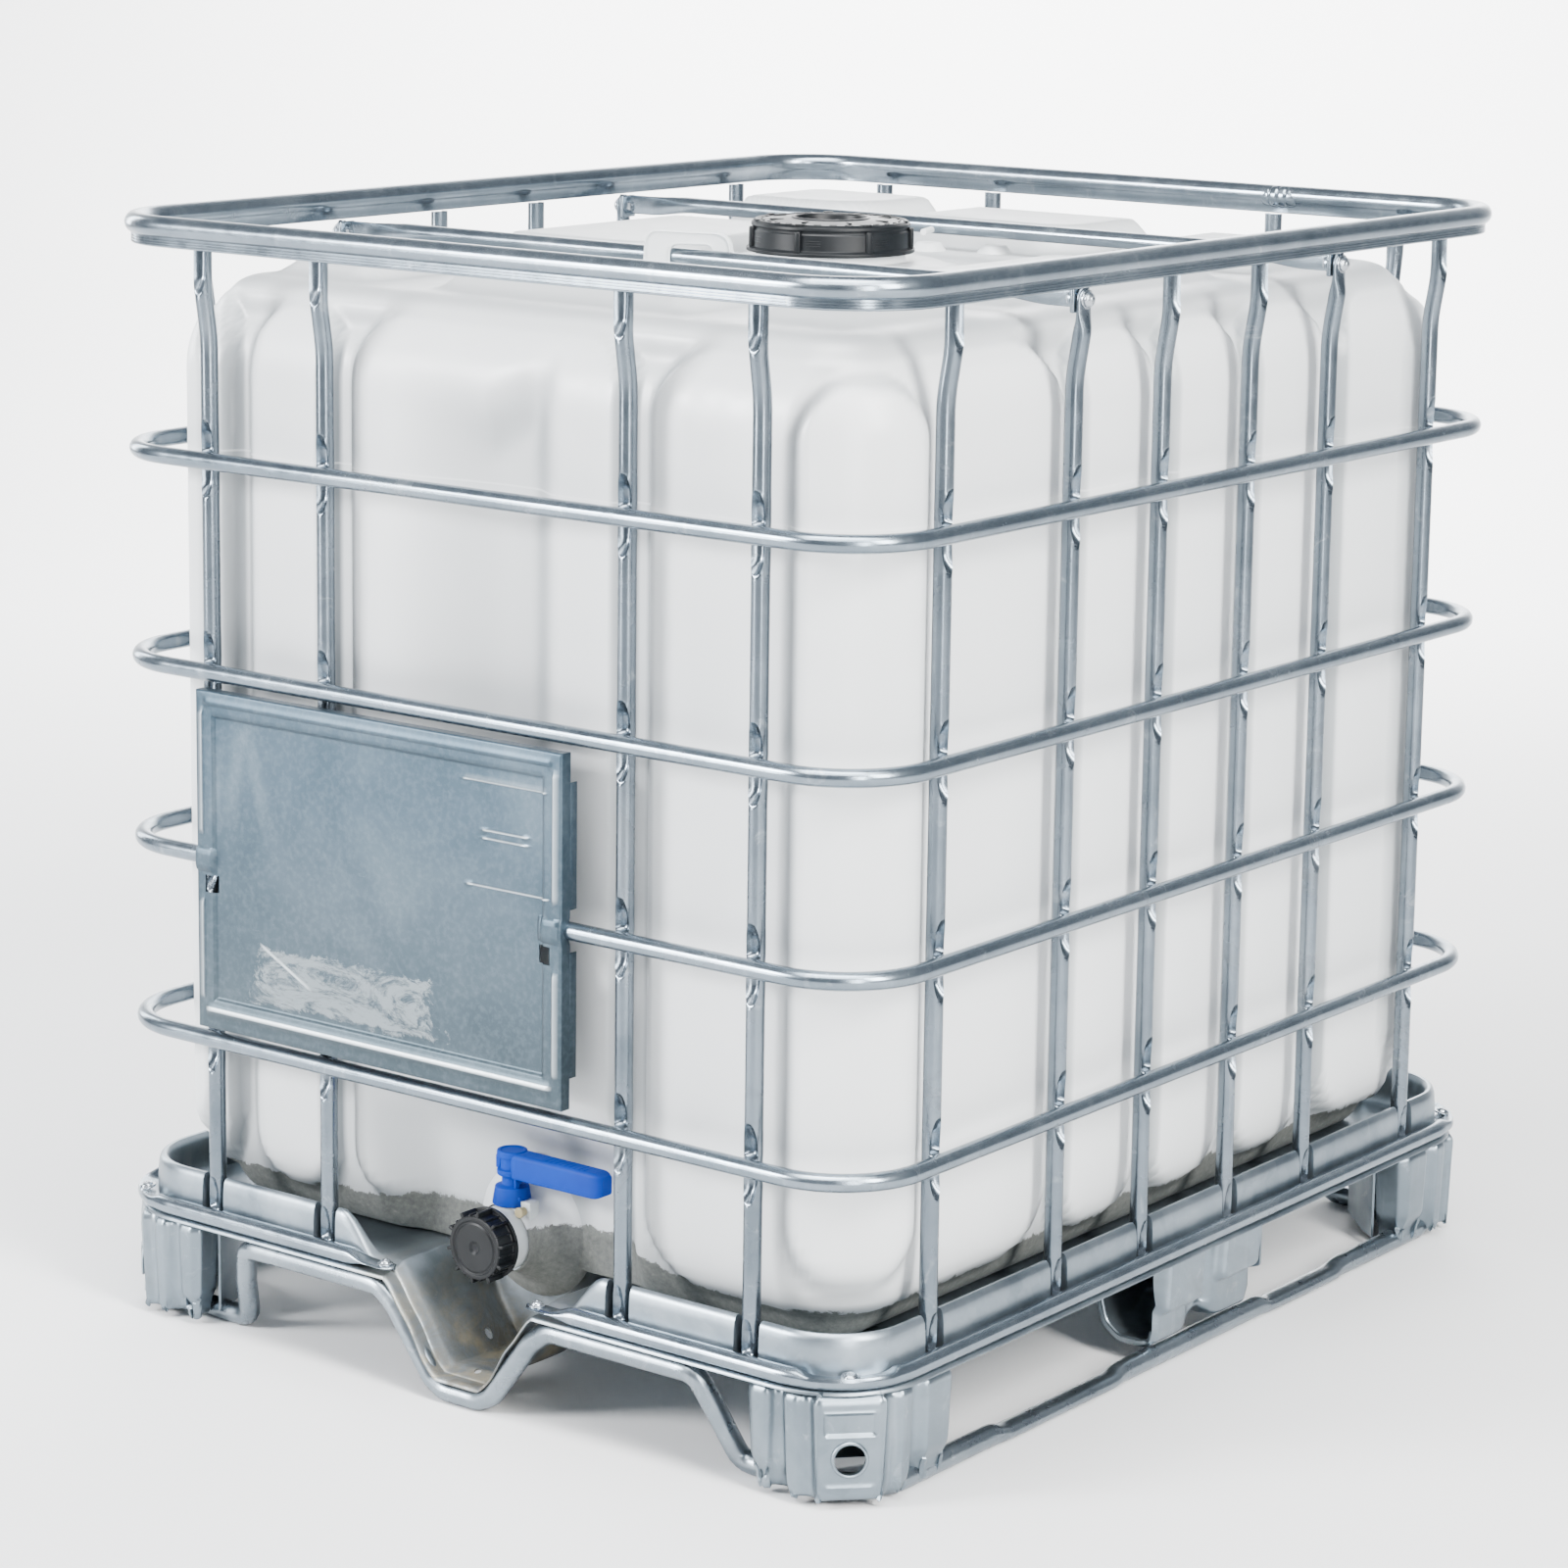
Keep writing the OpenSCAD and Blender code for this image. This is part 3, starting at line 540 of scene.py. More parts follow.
def plate_steel():
    """Dull plate with scratches, a chalky torn patch where a sticker was, brighter scuffs, and painted
    highlights with some wear along its crests.
    """
    n = Nodes("plate_sheet")
    x, _, z = n.axes()
    cloud = n.noise(7.0, 5.0, 0.6, 0.5)
    fine = n.noise(150.0, 4.0, 0.6)
    col = n.ramp(cloud, [
        (0.28, (0.03, 0.052, 0.072)), (0.5, (0.048, 0.074, 0.098)), (0.75, (0.078, 0.108, 0.135))])
    col = n.mix(n.span(z, 0.34, 0.6, 0.45, 0.0), col, (0.045, 0.055, 0.055))
    col = n.mix(n.span(fine, 0.45, 0.75, 0.0, 0.16), col, (0.22, 0.27, 0.31))
    rub = n.span(n.noise(90.0, 6.0, 0.8, 1.5, (0.25, 1.0, 1.0)), 0.66, 0.74, 0.0, 0.4)
    col = n.mix(rub, col, (0.28, 0.33, 0.37))
    # pale finger smears high on the left: centre, half width, half height and slant
    for cx, cz, half, tall, slant in ((-0.292, 0.606, 0.01, 0.05, 0.16), (-0.262, 0.6, 0.009, 0.046, -0.28),
                                      (-0.318, 0.59, 0.006, 0.034, 0.05)):
        leant = n.math("SUBTRACT", x, n.times(n.math("SUBTRACT", z, cz), slant))
        across = n.math("DIVIDE", n.off(leant, cx), half)
        height = n.math("DIVIDE", n.off(z, cz), tall)
        d = n.plus(n.math("MAXIMUM", across, height), n.span(n.noise(60.0, 6.0, 0.8), 0.2, 0.8, -0.6, 0.6))
        col = n.mix(n.span(d, 0.3, 1.4, 0.08, 0.0), col, (0.34, 0.4, 0.44))
    # scratch over the patch
    tilt = n.plus(n.math("SUBTRACT", z, 0.415), n.times(n.plus(x, 0.225), 0.52))
    gouge = n.times(n.span(n.off(tilt, 0.0), 0.0008, 0.0026, 0.9, 0.0),
                    n.span(n.off(x, -0.225), 0.028, 0.036, 1.0, 0.0))
    col = n.mix(gouge, col, (0.55, 0.6, 0.62))
    # what is left of the sticker
    torn_edge = n.span(n.noise(38.0, 5.0, 0.75, 0.6), 0.2, 0.8, -0.36, 0.36)
    dx = n.math("DIVIDE", n.off(x, -0.145), 0.118)
    dz = n.math("DIVIDE", n.off(z, 0.402), 0.03)
    patch = n.span(n.plus(n.math("MAXIMUM", dx, dz), torn_edge), 0.92, 1.02, 1.0, 0.0)
    glue = n.times(patch, n.span(n.noise(26.0, 7.0, 0.8, 2.6, (0.45, 1.0, 1.0)), 0.42, 0.54, 0.0, 1.0))
    col = n.mix(n.times(glue, 0.52), col, (0.33, 0.38, 0.4))
    # painted highlight along the upper sides of the beads and on the raised lines, partly bright wear on the
    # crests
    col = n.mix(n.times(n.attribute("crest_wear_and_highlight"), 0.85), col, (0.62, 0.68, 0.71))
    m = n.span(glue, 0.0, 1.0, 0.88, 0.05)
    r = n.plus(n.span(fine, 0.3, 0.7, 0.38, 0.52), n.times(glue, 0.3))
    b = n.bump(fine, 0.1, 0.0006)
    b = n.bump(glue, 0.35, 0.0006, b)
    return n.out(Base_Color=col, Roughness=r, Normal=b, Metallic=m)


M = {
    "steel": galvanised("galvanised_tube", (0.1, 0.13, 0.16), (0.225, 0.27, 0.31), 0.22, 0.3),
    "rim": galvanised("galvanised_rim", (0.11, 0.14, 0.17), (0.25, 0.295, 0.335), 0.21, 0.26),
    "post": galvanised("galvanised_upright", (0.08, 0.102, 0.124), (0.19, 0.225, 0.26), 0.23, 0.45),
    "foot": galvanised("galvanised_pressing", (0.105, 0.135, 0.16), (0.235, 0.28, 0.315), 0.31, 0.45,
                       0.9, 0.88),
    "rail": galvanised("galvanised_rail", (0.11, 0.138, 0.162), (0.26, 0.3, 0.335), 0.28, 0.45),
    "tray": tray_steel(),
    "plate": plate_steel(),
    "zinc": galvanised("zinc_fastener", (0.24, 0.27, 0.3), (0.44, 0.47, 0.5), 0.24, 0.15, 3.0, 0.95, 0.1),
    "tank": tank_plastic(),
    "loop": plastic("polyethylene_loop", (0.74, 0.77, 0.78), (0.82, 0.84, 0.84), 0.36, 0.1, 0.08,
                    (0.5, 0.5, 0.48)),
    "valve": plastic("polyethylene_valve", (0.56, 0.6, 0.61), (0.66, 0.69, 0.69), 0.38, 0.15, 0.18,
                     (0.4, 0.4, 0.37)),
    "black": plastic("black_moulding", (0.0022, 0.003, 0.0038), (0.006, 0.0078, 0.0098), 0.42, 0.14, 0.04,
                     (0.04, 0.046, 0.052), 0.2),
    "blue": plastic("blue_moulding", (0.0, 0.03, 0.3), (0.0, 0.048, 0.4), 0.58, 0.06, 0.02,
                    (0.01, 0.09, 0.42), 0.12),
    "beige": plastic("beige_moulding", (0.36, 0.3, 0.16), (0.48, 0.41, 0.25), 0.45, 0.2, 0.15,
                     (0.22, 0.17, 0.1)),
    "rubber": plastic("black_rubber", (0.006, 0.006, 0.006), (0.014, 0.014, 0.014), 0.62, 0.1, 0.12,
                      (0.06, 0.06, 0.06)),
}


# ---------------------------------------------------------------- cage
def level_loop(hx, hy, r, z, step=0.012):
    """Rounded rectangle lying at height z, and its outward normals."""
    pts, nor = rounded_rect(hx, hy, r, step)
    return np.insert(pts, 2, z, axis=1), np.insert(nor, 2, 0.0, axis=1)


def build_rings():
    for name, z in RING_Z.items():
        path, nor = level_loop(RING_HX, RING_HY, RING_CORNER, z)
        piece(name + "_tube", [sweep(path, circle(RING_R), nor, closed=True)], "steel", name, auto=None)


def build_rim():
    """Rim tube with a flat, ribbed band below it, and a weld at the rear where it was closed."""
    z0, r = 1.149, 0.011
    path, nor = level_loop(HX - r, HY - r, 0.092, z0, 0.01)
    sec = [(r * math.cos(a), r * math.sin(a)) for a in np.radians(np.linspace(-50, 232, 25))]
    sec += mm([(-6.2, -10.2), (-5.2, -11.8), (-5.2, -19), (-4.4, -20), (3.4, -20), (4.4, -19.3)])
    for rib in (-18.0, -15.4, -12.8):
        sec += mm([(4.6, rib), (3.9, rib + 0.4), (3.9, rib + 0.9), (4.6, rib + 1.3)])
    sec += mm([(4.6, -9.8)])

    def swelling(i):
        notched = 1 if i % 6 else 0.6
        return circle(0.01 + 0.0028 * math.sin(math.pi * i / 25) ** 0.5 * notched, 18, 0.86)

    weld = sweep([(0.175 + 0.045 * t, HY - r, z0) for t in np.linspace(0, 1, 26)], swelling, (0, 1, 0))
    tube = sweep(path, [(a, -b) for a, b in sec], nor, closed=True)
    piece("rim_tube", [tube, place(weld, shift(0, -0.0015, -0.0018))], "rim", "top_rim")


def post_heights(crossings):
    """Heights of an upright's samples: even, and closer together at its dimples."""
    zs = set(np.round(np.arange(POST_Z0, POST_TOP, 0.012), 5)) | {POST_TOP, 1.124, 1.126, 1.1275}
    near = np.concatenate([np.arange(0.0025, 0.012, 0.0022), np.arange(0.014, 0.034, 0.004),
                           np.arange(0.034, 0.0412, 0.0016)])
    for zr, _ in crossings:
        zs |= {round(float(q), 5) for q in np.concatenate([zr + near, zr - near]) if POST_Z0 < q < POST_TOP}
    zs |= {round(float(q), 5) for q in np.arange(1.083, 1.128, 0.003)}
    return sorted(zs)


def post_data(x, y, out, bolted=False):
    """One upright with a spoon-shaped dimple above and below every ring, leaning out under the rim."""
    crossings = [(z, 1.0) for z in RING_Z.values()] + [(BOTTOM_RING_Z, 0.45)]
    phi0, m_dish, m_rest = 0.3, 9, 18
    r, (ox, oy) = POST_R, out
    rows = []
    for z in post_heights(crossings):
        # half angle of the dish, how far it has opened, its depth, and the upright's two widths
        phi, w, bowl, wide, deep = phi0, 0.0, 0.0, 1.0, 1.0
        for zr, amount in crossings:
            d = abs(z - zr)
            if d < 0.0405:
                u = max(0.0, (d - 0.006) / 0.0335)
                t = max(0.0, 1 - min(1.0, u) ** 2.2)
                phi = phi0 + (1.12 * amount ** 0.3 - phi0) * t ** 0.62
                w = band(0.0022, 0.0085, 0.0385, 0.0405, d)
                bowl = 0.0066 * amount * min(1.0, (1 - min(1, u)) * 2.4)
                wide = 1 + 0.05 * t * w * amount
        if bolted:
            s = smooth(1.082, 1.106, z)
            deep, wide = 1 - 0.52 * s, wide + 0.2 * s
            if z > 1.112:
                wide *= math.sqrt(max(0.05, 1 - ((z - 1.112) / (POST_TOP - 1.112)) ** 2.4))
        elif z > 1.084:
            u = 1 - min(1.0, (z - 1.084) / 0.036)
            t = 1 - u ** 2.2
            phi = phi0 + (1.14 - phi0) * t ** 0.62
            w = smooth(1.084, 1.087, z)
            bowl = 0.0062 * min(1.0, (1 - u) * 2.2)
            wide = 1 + 0.1 * t
        sec = []
        for k in range(m_dish):
            th = phi * (2 * k / (m_dish - 1) - 1)
            sunk = r * math.cos(phi) - bowl * (1 - (math.sin(th) / math.sin(phi)) ** 2)
            sec.append((r * math.cos(th) * (1 - w) + sunk * w, r * math.sin(th)))
        for k in range(1, m_rest):
            th = phi + (2 * math.pi - 2 * phi) * k / m_rest
            sec.append((r * math.cos(th), r * math.sin(th)))
        lean = 0.008 * smooth(1.03, 1.1, z)
        for a, b in sec:
            a, b = a * deep + lean, b * wide
            rows.append((x + ox * a - oy * b, y + oy * a + ox * b, z))
    m = m_dish + m_rest - 1
    return close_ends(rows, grid_faces(len(rows) // m, m, wrap_c=True), m)


def build_posts():
    for side, sign in (("front", -1), ("rear", 1)):
        posts = [post_data(x, sign * POST_HY, (0, sign)) for x in END_POSTS]
        piece("uprights_" + side, posts, "post", "posts_" + side, auto=42)
    for side, sign in (("right", 1), ("left", -1)):
        posts = [post_data(sign * POST_HX, y, (sign, 0), abs(y) == BAR_Y) for y in SIDE_POSTS]
        piece("uprights_" + side, posts, "post", "posts_" + side, auto=42)


def build_bottom_ring():
    """Tube ring open at the outlet, pressed flat at its ends and over each corner screw."""
    pts, nor = level_loop(RING_HX, RING_HY, RING_CORNER, BOTTOM_RING_Z, 0.005)
    # the loop starts on the right side; turn it to run from the right of the outlet to the left of it
    start, stop = (int(np.argmin(np.abs(pts[:, :2] - (x, -RING_HY)).sum(1))) for x in (0.088, -0.088))
    order = list(range(start, len(pts))) + list(range(stop + 1))
    path = pts[order]
    s = distances(path)
    mids = []
    for sx, sy in CORNERS:
        c = np.array([sx * (RING_HX - CORNER_IN), sy * (RING_HY - CORNER_IN)])
        mids.append(s[int(np.argmin(np.linalg.norm(path[:, :2] - c, axis=1)))])

    def section(i):
        gap = min(abs(s[i] - m) for m in mids)
        flat, dish = fade(0.036, 0.05, gap), fade(0.018, 0.046, gap)
        end = min(s[i], s[-1] - s[i])
        tongue = fade(0.03, 0.062, end)
        tip = math.sqrt(max(0.02, 1 - max(0.0, (0.01 - end) / 0.01) ** 2))
        out = []
        for a, b in circle(RING_R, 24):
            up = -b
            if flat > 0:
                top = 0.003 - 0.0022 * dish * (1 - (a / RING_R) ** 2)
                squashed = min(up, top + 0.28 * a) if up > 0 else up
                up = up * (1 - flat) + squashed * flat
                a *= 1 + 0.22 * flat
            if tongue > 0:
                up = up * (1 - tongue) + (-0.0011 + up * 0.22) * tongue
                a *= (1 + 0.16 * tongue) * (1 - tongue + tongue * tip)
            out.append((a, -up))
        return out

    piece("bottom_ring_tube", [sweep(path, section, nor[order])], "rim", "bottom_ring", auto=50)


def build_crossbars():
    """Tubes over the tank, pressed flat at both ends, with a tab bent across each upright."""
    bolt_x, x1 = 0.4382, 0.4692
    xs = np.concatenate([np.linspace(-x1, -x1 + 0.11, 30), np.linspace(-x1 + 0.125, x1 - 0.125, 30),
                         np.linspace(x1 - 0.11, x1, 30)])

    def section(i):
        f = fade(0.03, 0.098, x1 - abs(xs[i]))
        lid = 0.0065 + 0.0025 * (1 - f)
        tall, wide = 1 + 0.34 * f, 1 - 0.72 * f
        return [(min(a * tall - 0.0026 * f, lid), b * wide) for a, b in circle(BAR_R, 24)]

    gusset = mm([(0.1, -3.5), (9, -3.5), (10.4, -2), (10.4, 0), (0.1, 0)])
    for name, y in (("crossbar_front", -BAR_Y), ("crossbar_rear", BAR_Y)):
        parts = [sweep([(x, y, BAR_Z) for x in xs], section, (0, 0, 1))]
        for sx in (-1, 1):
            parts.append(block((0.005, 0.024, 0.025), (sx * (bolt_x + 0.0338), y, BAR_Z - 0.0065), 0.0018))
            parts.append(turned(gusset, 20, "x", (sx * (bolt_x + 0.0305), y, BAR_Z - 0.0065)))
        piece(name + "_tube", parts, "rim", name)


def mirrored(data, sx=-1, sy=1):
    """The same shape with x or y turned round; merge puts its normals right."""
    v, f = data
    return np.asarray(v) * np.array([sx, sy, 1]), f


def build_bar_fasteners():
    heads, washers = [], []
    head = mm([(3.8, -20), (3.8, 1.5)]) + rounded(mm([
        (0.1, 1.9), (7.8, 1.9), (7.8, 3.4), (6.2, 5.6), (3.4, 7), (3, 7.8), (0.1, 8)]), 0.0006)
    washer = rounded(mm([(4.2, 0), (9.5, 0), (9.5, 1.8), (4.2, 1.8)]), 0.0004)
    for y in (-BAR_Y, BAR_Y):
        where = {"axis": "x", "origin": (POST_HX + 0.0113, y, BAR_Z - 0.006)}
        for group, shape in ((heads, turned(head, 28, **where)), (washers, hoop(washer, 36, **where))):
            group += [shape, mirrored(shape)]
    piece("bar_bolt_heads", heads, "zinc", "crossbar_bolts")
    piece("bar_bolt_washers", washers, "zinc", "crossbar_washers")


def build_tray_screws():
    shape = rounded(mm([(0.1, -1), (7.8, -1), (8, 0.6), (5.6, 1.2), (5, 3), (3.4, 4.2), (1.2, 4.4),
                        (1, 3.6), (0.1, 3.4)]), 0.0004)
    parts = [place(turned(shape, 24), shift(sx * 0.1, -RING_HY, BOTTOM_RING_Z + 0.0012)) for sx in (-1, 1)]
    for sx, sy in CORNERS:
        tilt = spin(-14, Vector((sy, -sx, 0)).normalized()) @ Matrix.Diagonal((1.22, 1.22, 1.1, 1.0))
        x, y = RING_HX - CORNER_IN + 0.001, RING_HY - CORNER_IN + 0.001
        to = shift(sx * x, sy * y, BOTTOM_RING_Z + 0.003)
        parts.append(place(turned(shape, 28), to @ tilt))
    piece("tray_screw_heads", parts, "zinc", "tray_screws")


# ---------------------------------------------------------------- pallet
def build_rail():
    """Bent tube that carries the feet, dropped under the trough and pressed where forks cross it."""
    half = mm([
        (0, -585, 10.6), (22, -585, 10.6), (40, -585, 20), (90, -585, 86), (112, -585, 102), (296, -585, 102),
        (312, -570, 60), (326, -550, 10.6), (418, -547, 10.6), (472, -515, 10.6), (472, 515, 10.6),
        (418, 547, 10.6), (326, 550, 10.6), (312, 570, 60), (296, 585, 102), (0, 585, 102)])
    radii = [0, 0.014, 0.016, 0.02, 0.026, 0.02, 0.012, 0.02, 0.05, 0.04, 0.04, 0.05, 0.02, 0.012, 0.02, 0]
    right = resample(fillet(half, radii), 0.006)
    path = np.vstack([right, right[::-1][1:-1] * np.array([-1, 1, 1])])
    rows = []
    for p, t in zip(path, unit(np.roll(path, -1, 0) - np.roll(path, 1, 0))):
        side = np.cross(t, (0, 0, 1.0))
        if np.linalg.norm(side) < 0.2:
            side = np.array([0, 1.0, 0]) if abs(t[1]) < 0.5 else np.array([1.0, 0, 0])
        side = unit(side)
        up = np.cross(side, t)
        f = 0.0
        if abs(p[0]) > 0.46:
            f = max(band(-0.345, -0.318, -0.135, -0.11, p[1]), band(0.15, 0.175, 0.3, 0.328, p[1]))
        for a, b in circle(RAIL_R):
            q = p + side * a * (1 + 0.16 * f) + up * (b * (1 - 0.26 * f) - 0.26 * RAIL_R * f)
            rows.append((q[0], q[1], max(q[2], 0.0003)))
    faces = grid_faces(len(path), 20, wrap_r=True, wrap_c=True)
    piece("base_rail_tube", [(rows, faces)], "rail", "base_rail", auto=50)


VALLEY_X = 0.126
TRAY_HX, TRAY_HY, TRAY_R = 0.4955, 0.5955, 0.099
# distance in from the flange edge, height with the upstand, height without it
TRAY_PROFILE = mm([
    (0, 112.5, 112.5), (0.4, 114.8, 114.8), (2, 116.2, 116.2), (6, 116.6, 116.6), (12.5, 116.6, 116.7),
    (15, 117.8, 116.8), (16.2, 120.5, 116.9), (16.6, 130, 117.1), (16.8, 140, 117.4), (17.1, 151, 117.8),
    (18, 159, 118.4), (19.8, 163.8, 119.2), (22.5, 165.8, 120.2), (25.5, 165.5, 121.2), (28, 162.8, 122.2),
    (29.8, 158, 123), (31.8, 148, 123.7), (34.5, 138, 124.2), (38.5, 130, 124.6), (44, 126.2, 124.9),
    (52, 125, 125), (64, 125, 125)])
TRAY_FLOOR = 0.125


def valley_depth(x):
    """0 on the shoulders, 1 on the floor of the outlet trough."""
    lin = min(1.0, max(0.0, (0.098 - abs(x)) / 0.07))
    return 0.42 * lin * lin * (3 - 2 * lin) + 0.58 * lin


def tray_outline():
    """Samples and normals round the flange, from the right of the outlet to the left of it."""
    pts, nor = rounded_rect(TRAY_HX, TRAY_HY, TRAY_R, 0.008)
    samples = list(zip(pts, nor))
    # extra samples at the edges of the notches that the uprights stand in, and where the upstand ends
    notch = [s * d for d in (0.0165, 0.015, 0.0142, 0.0134, 0.012) for s in (-1, 1)]
    for sign in (-1, 1):
        samples += [((sign * TRAY_HX, q + d), (sign, 0)) for q in SIDE_POSTS for d in notch]
        samples += [((q + d, sign * TRAY_HY), (0, sign)) for q in END_POSTS for d in notch]
        samples += [((sign * x, -TRAY_HY), (0, -1)) for x in (*np.arange(0.118, 0.18, 0.004), VALLEY_X)]

    def place_round(sample):
        start = perimeter((VALLEY_X, -TRAY_HY), (0, -1), TRAY_HX, TRAY_HY, TRAY_R)
        total = 4 * (TRAY_HX + TRAY_HY - 2 * TRAY_R) + 2 * math.pi * TRAY_R
        return (perimeter(*sample, TRAY_HX, TRAY_HY, TRAY_R) - start + 1e-7) % total

    beside = [q for q in samples if q[0][1] > -TRAY_HY + 1e-6 or abs(q[0][0]) >= VALLEY_X - 1e-9]
    beside.sort(key=place_round)
    out = beside[:1]
    for q in beside[1:]:
        if math.dist(q[0], out[-1][0]) > 3e-4:
            out.append(q)
    return out


def build_tray():
    """Deep-drawn sheet: flange, upstand notched at the uprights, floor, and the outlet trough."""
    m = len(TRAY_PROFILE)
    verts = []
    outline = tray_outline()
    for (x, y), (nx, ny) in outline:
        notch = 0.0
        if abs(nx) > 0.999 or abs(ny) > 0.999:
            at, posts = (y, SIDE_POSTS) if abs(nx) > 0.999 else (x, END_POSTS)
            notch = max(fade(0.0128, 0.015, abs(at - q)) for q in posts)
        left = smooth(0.118, 0.172, abs(x)) if y <= -0.55 else 1.0
        for d, high, low in TRAY_PROFILE:
            z = low + (high - low) * left
            if notch > 0 and 0.014 < d < 0.05:
                deeper = min(d + 0.0185, 0.0352 + (d - 0.0166) * 0.16) if d > 0.016 else d + 0.0185
                d += (deeper - d) * notch
                z += (min(z, 0.158) - z) * notch
            verts.append((x - nx * d, y - ny * d, z))
    n = len(outline)
    faces = grid_faces(n, m)
    # trough: the same rows of depth, continued inwards
    ds = [d for d, _, _ in TRAY_PROFILE] + list(np.linspace(0.074, 0.128, 9)) + [q / 1e4 for q in (
        1325, 1365, 1400, 1432, 1462, 1490, 1515, 1538, 1560, 1580, 1610, 1650)]
    half = [*np.linspace(VALLEY_X, 0.1, 9), *np.linspace(0.098, 0.028, 34)]
    xs = half + list(np.linspace(0.024, -0.024, 13)) + [-x for x in reversed(half)]
    crease = np.random.default_rng(5).uniform(-1, 1) * 2
    cols = []
    for x in xs:
        col = []
        for k, d in enumerate(ds):
            if abs(x) == VALLEY_X and k < m:
                col.append((n - 1 if x < 0 else 0) * m + k)
                continue
            front = fade(0.132, 0.16, d)
            depth = (0.0905 + 0.004 * smooth(0.0, 0.1, d)) * valley_depth(x) * front
            # soft creases the press left down the flanks
            flank = max(0.0, 1 - abs(abs(x) - 0.062) / 0.04)
            depth += front * flank * 0.0026 * math.sin(abs(x) * 160 + d * 26 + crease)
            col.append(len(verts))
            verts.append((x, -TRAY_HY + d, (TRAY_PROFILE[k][2] if k < m else TRAY_FLOOR) - depth))
        cols.append(col)
    for a, b in zip(cols, cols[1:]):
        faces += [(a[k], a[k + 1], b[k + 1], b[k]) for k in range(len(ds) - 1)]
    # floor inside the upstand, round the trough
    floor = [i * m + m - 1 for i in range(n)] + cols[-1][m:] + [c[-1] for c in cols[-2:0:-1]]
    faces.append(tuple(floor + cols[0][:m - 1:-1]))
    o = fix_normals(make("tray_sheet", verts, faces))
    thicken(o, 0.0016, axis=2)
    for x, y, r in ((-0.04, -0.5, 0.0042), (0.004, -0.566, 0.004)):
        cut(o, merge("drain_hole", [turned([(r, -0.1), (r, 0.3)], 20, origin=(x, y, 0))]))
    finish_piece(o, "tray", "tray", auto=40)


FOOT_Z0, FOOT_Z1 = 0.008, 0.1132
# wall of the corner foot at +X, -Y, from its front end round to its side end, and its bends
FOOT_WALL = mm([
    (362, -560), (360, -587), (370, -594), (387, -594), (393, -583.5), (401, -583.5), (408, -594), (422, -594),
    (428, -585.5), (434, -585.5), (443, -592.5), (492.5, -543), (485.5, -534), (485.5, -526), (494, -518),
    (494, -502), (483.5, -495), (483.5, -486), (494, -478), (494, -440), (484, -430), (454, -432)])
FOOT_BENDS = [q / 1000 for q in (0, 7, 8, 6, 5, 5, 6, 6, 5, 5, 5, 5, 5, 5, 6, 6, 5, 5, 6, 9, 8, 0)]
FOOT_HOLE = shift(0.4675, -0.5675, 0.05) @ spin(-45) @ spin(90, "Y")


def foot_push(on, off, z):
    """How far a corner foot's wall is pushed out: relief of the slanted face, and the drawn-in ends."""
    push = 0.0
    if off < 0.004 and abs(on) < 0.034:
        inside = max(abs(on) - 0.0245, abs(z - 0.0845) - 0.0105)
        push -= 0.0022 * fade(-0.0022, 0.0012, inside)
        push += 0.0008 * bell(inside - 0.0018, 0.0014)
        push += 0.0014 * bell(z - 0.0225, 0.0016) * fade(0.022, 0.027, abs(on))
        push -= 0.0012 * smooth(0.0285, 0.032, abs(on))
    far = smooth(0.045, 0.105, math.hypot(on, off * 1.4))
    ends_at = 0.004 + 0.022 * far
    return push - 0.007 * far * fade(ends_at - 0.008, ends_at + 0.016, z)


def corner_foot():
    """Fluted sheet wall, its top and its back, with the rimmed hole in its slanted face."""
    path = resample(fillet(FOOT_WALL, FOOT_BENDS, 5), 0.0022)[:, :2]
    tan = unit(np.gradient(path, axis=0))
    edge = 0.0105
    # height and inset of each row: edge rounded in under the tray, wall, rounded foot
    rows = [(FOOT_Z1, -0.03), (FOOT_Z1, -0.018)]
    rows += [(FOOT_Z1 - edge * (1 - math.cos(a)), edge * (math.sin(a) - 1))
             for a in np.radians((0, 18, 36, 54, 72))]
    rows += [(z, 0.0) for z in np.linspace(FOOT_Z1 - edge, FOOT_Z0 + 0.012, 44)]
    rows += [(FOOT_Z0 + 0.012 * (1 - math.sin(a)), 0.004 * (math.cos(a) - 1))
             for a in np.radians((18, 36, 54, 72, 86))]
    verts = []
    for z, inset in rows:
        taper = -0.0045 * (FOOT_Z1 - z) / (FOOT_Z1 - FOOT_Z0)
        for (x, y), (tx, ty) in zip(path, tan):
            on = (x - 0.469 + y + 0.569) * 0.7071
            off = abs(x - 0.469 - y - 0.569) * 0.7071
            d = inset + taper + foot_push(on, off, z)
            verts.append((x + ty * d, y - tx * d, z))
    m = len(path)
    top = [(x, y, FOOT_Z1) for x, y, *_ in verts[:m] + mm([(449, -433), (390, -433), (366, -544)])]
    line = [verts[7 * m][:2], (0.385, -0.5), (0.43, -0.452), verts[8 * m - 1][:2]]
    back = [(x, y, z) for z in (FOOT_Z1, FOOT_Z0 + 0.004) for x, y in line]
    parts = [(verts, grid_faces(len(rows), m)), (top, [tuple(range(len(top)))]),
             (back, grid_faces(2, len(line)))]
    o = fix_normals(merge("foot_sheet", parts), weld=1e-5)
    thicken(o, 0.0026, axis=0, beyond=0.45)
    cut(o, merge("foot_hole", [place(turned([(0.015, -0.03), (0.015, 0.03)], 48), FOOT_HOLE)]))
    lip = rounded(mm([(15, -3.4), (15, 0.4), (16.8, 0.8), (18, -0.4), (18, -1.2), (16, -3.4)]), 0.0004)
    return [take(o), take(merge("foot_lip", [place(hoop(lip, 48), FOOT_HOLE)]))]


def build_corner_feet():
    parts = corner_foot()
    for name, sx, sy in (("foot_front_right", 1, 1), ("foot_front_left", -1, 1),
                         ("foot_rear_right", 1, -1), ("foot_rear_left", -1, -1)):
        piece(name + "_pressing", [mirrored(q, sx, sy) for q in parts], "foot", name, auto=38)


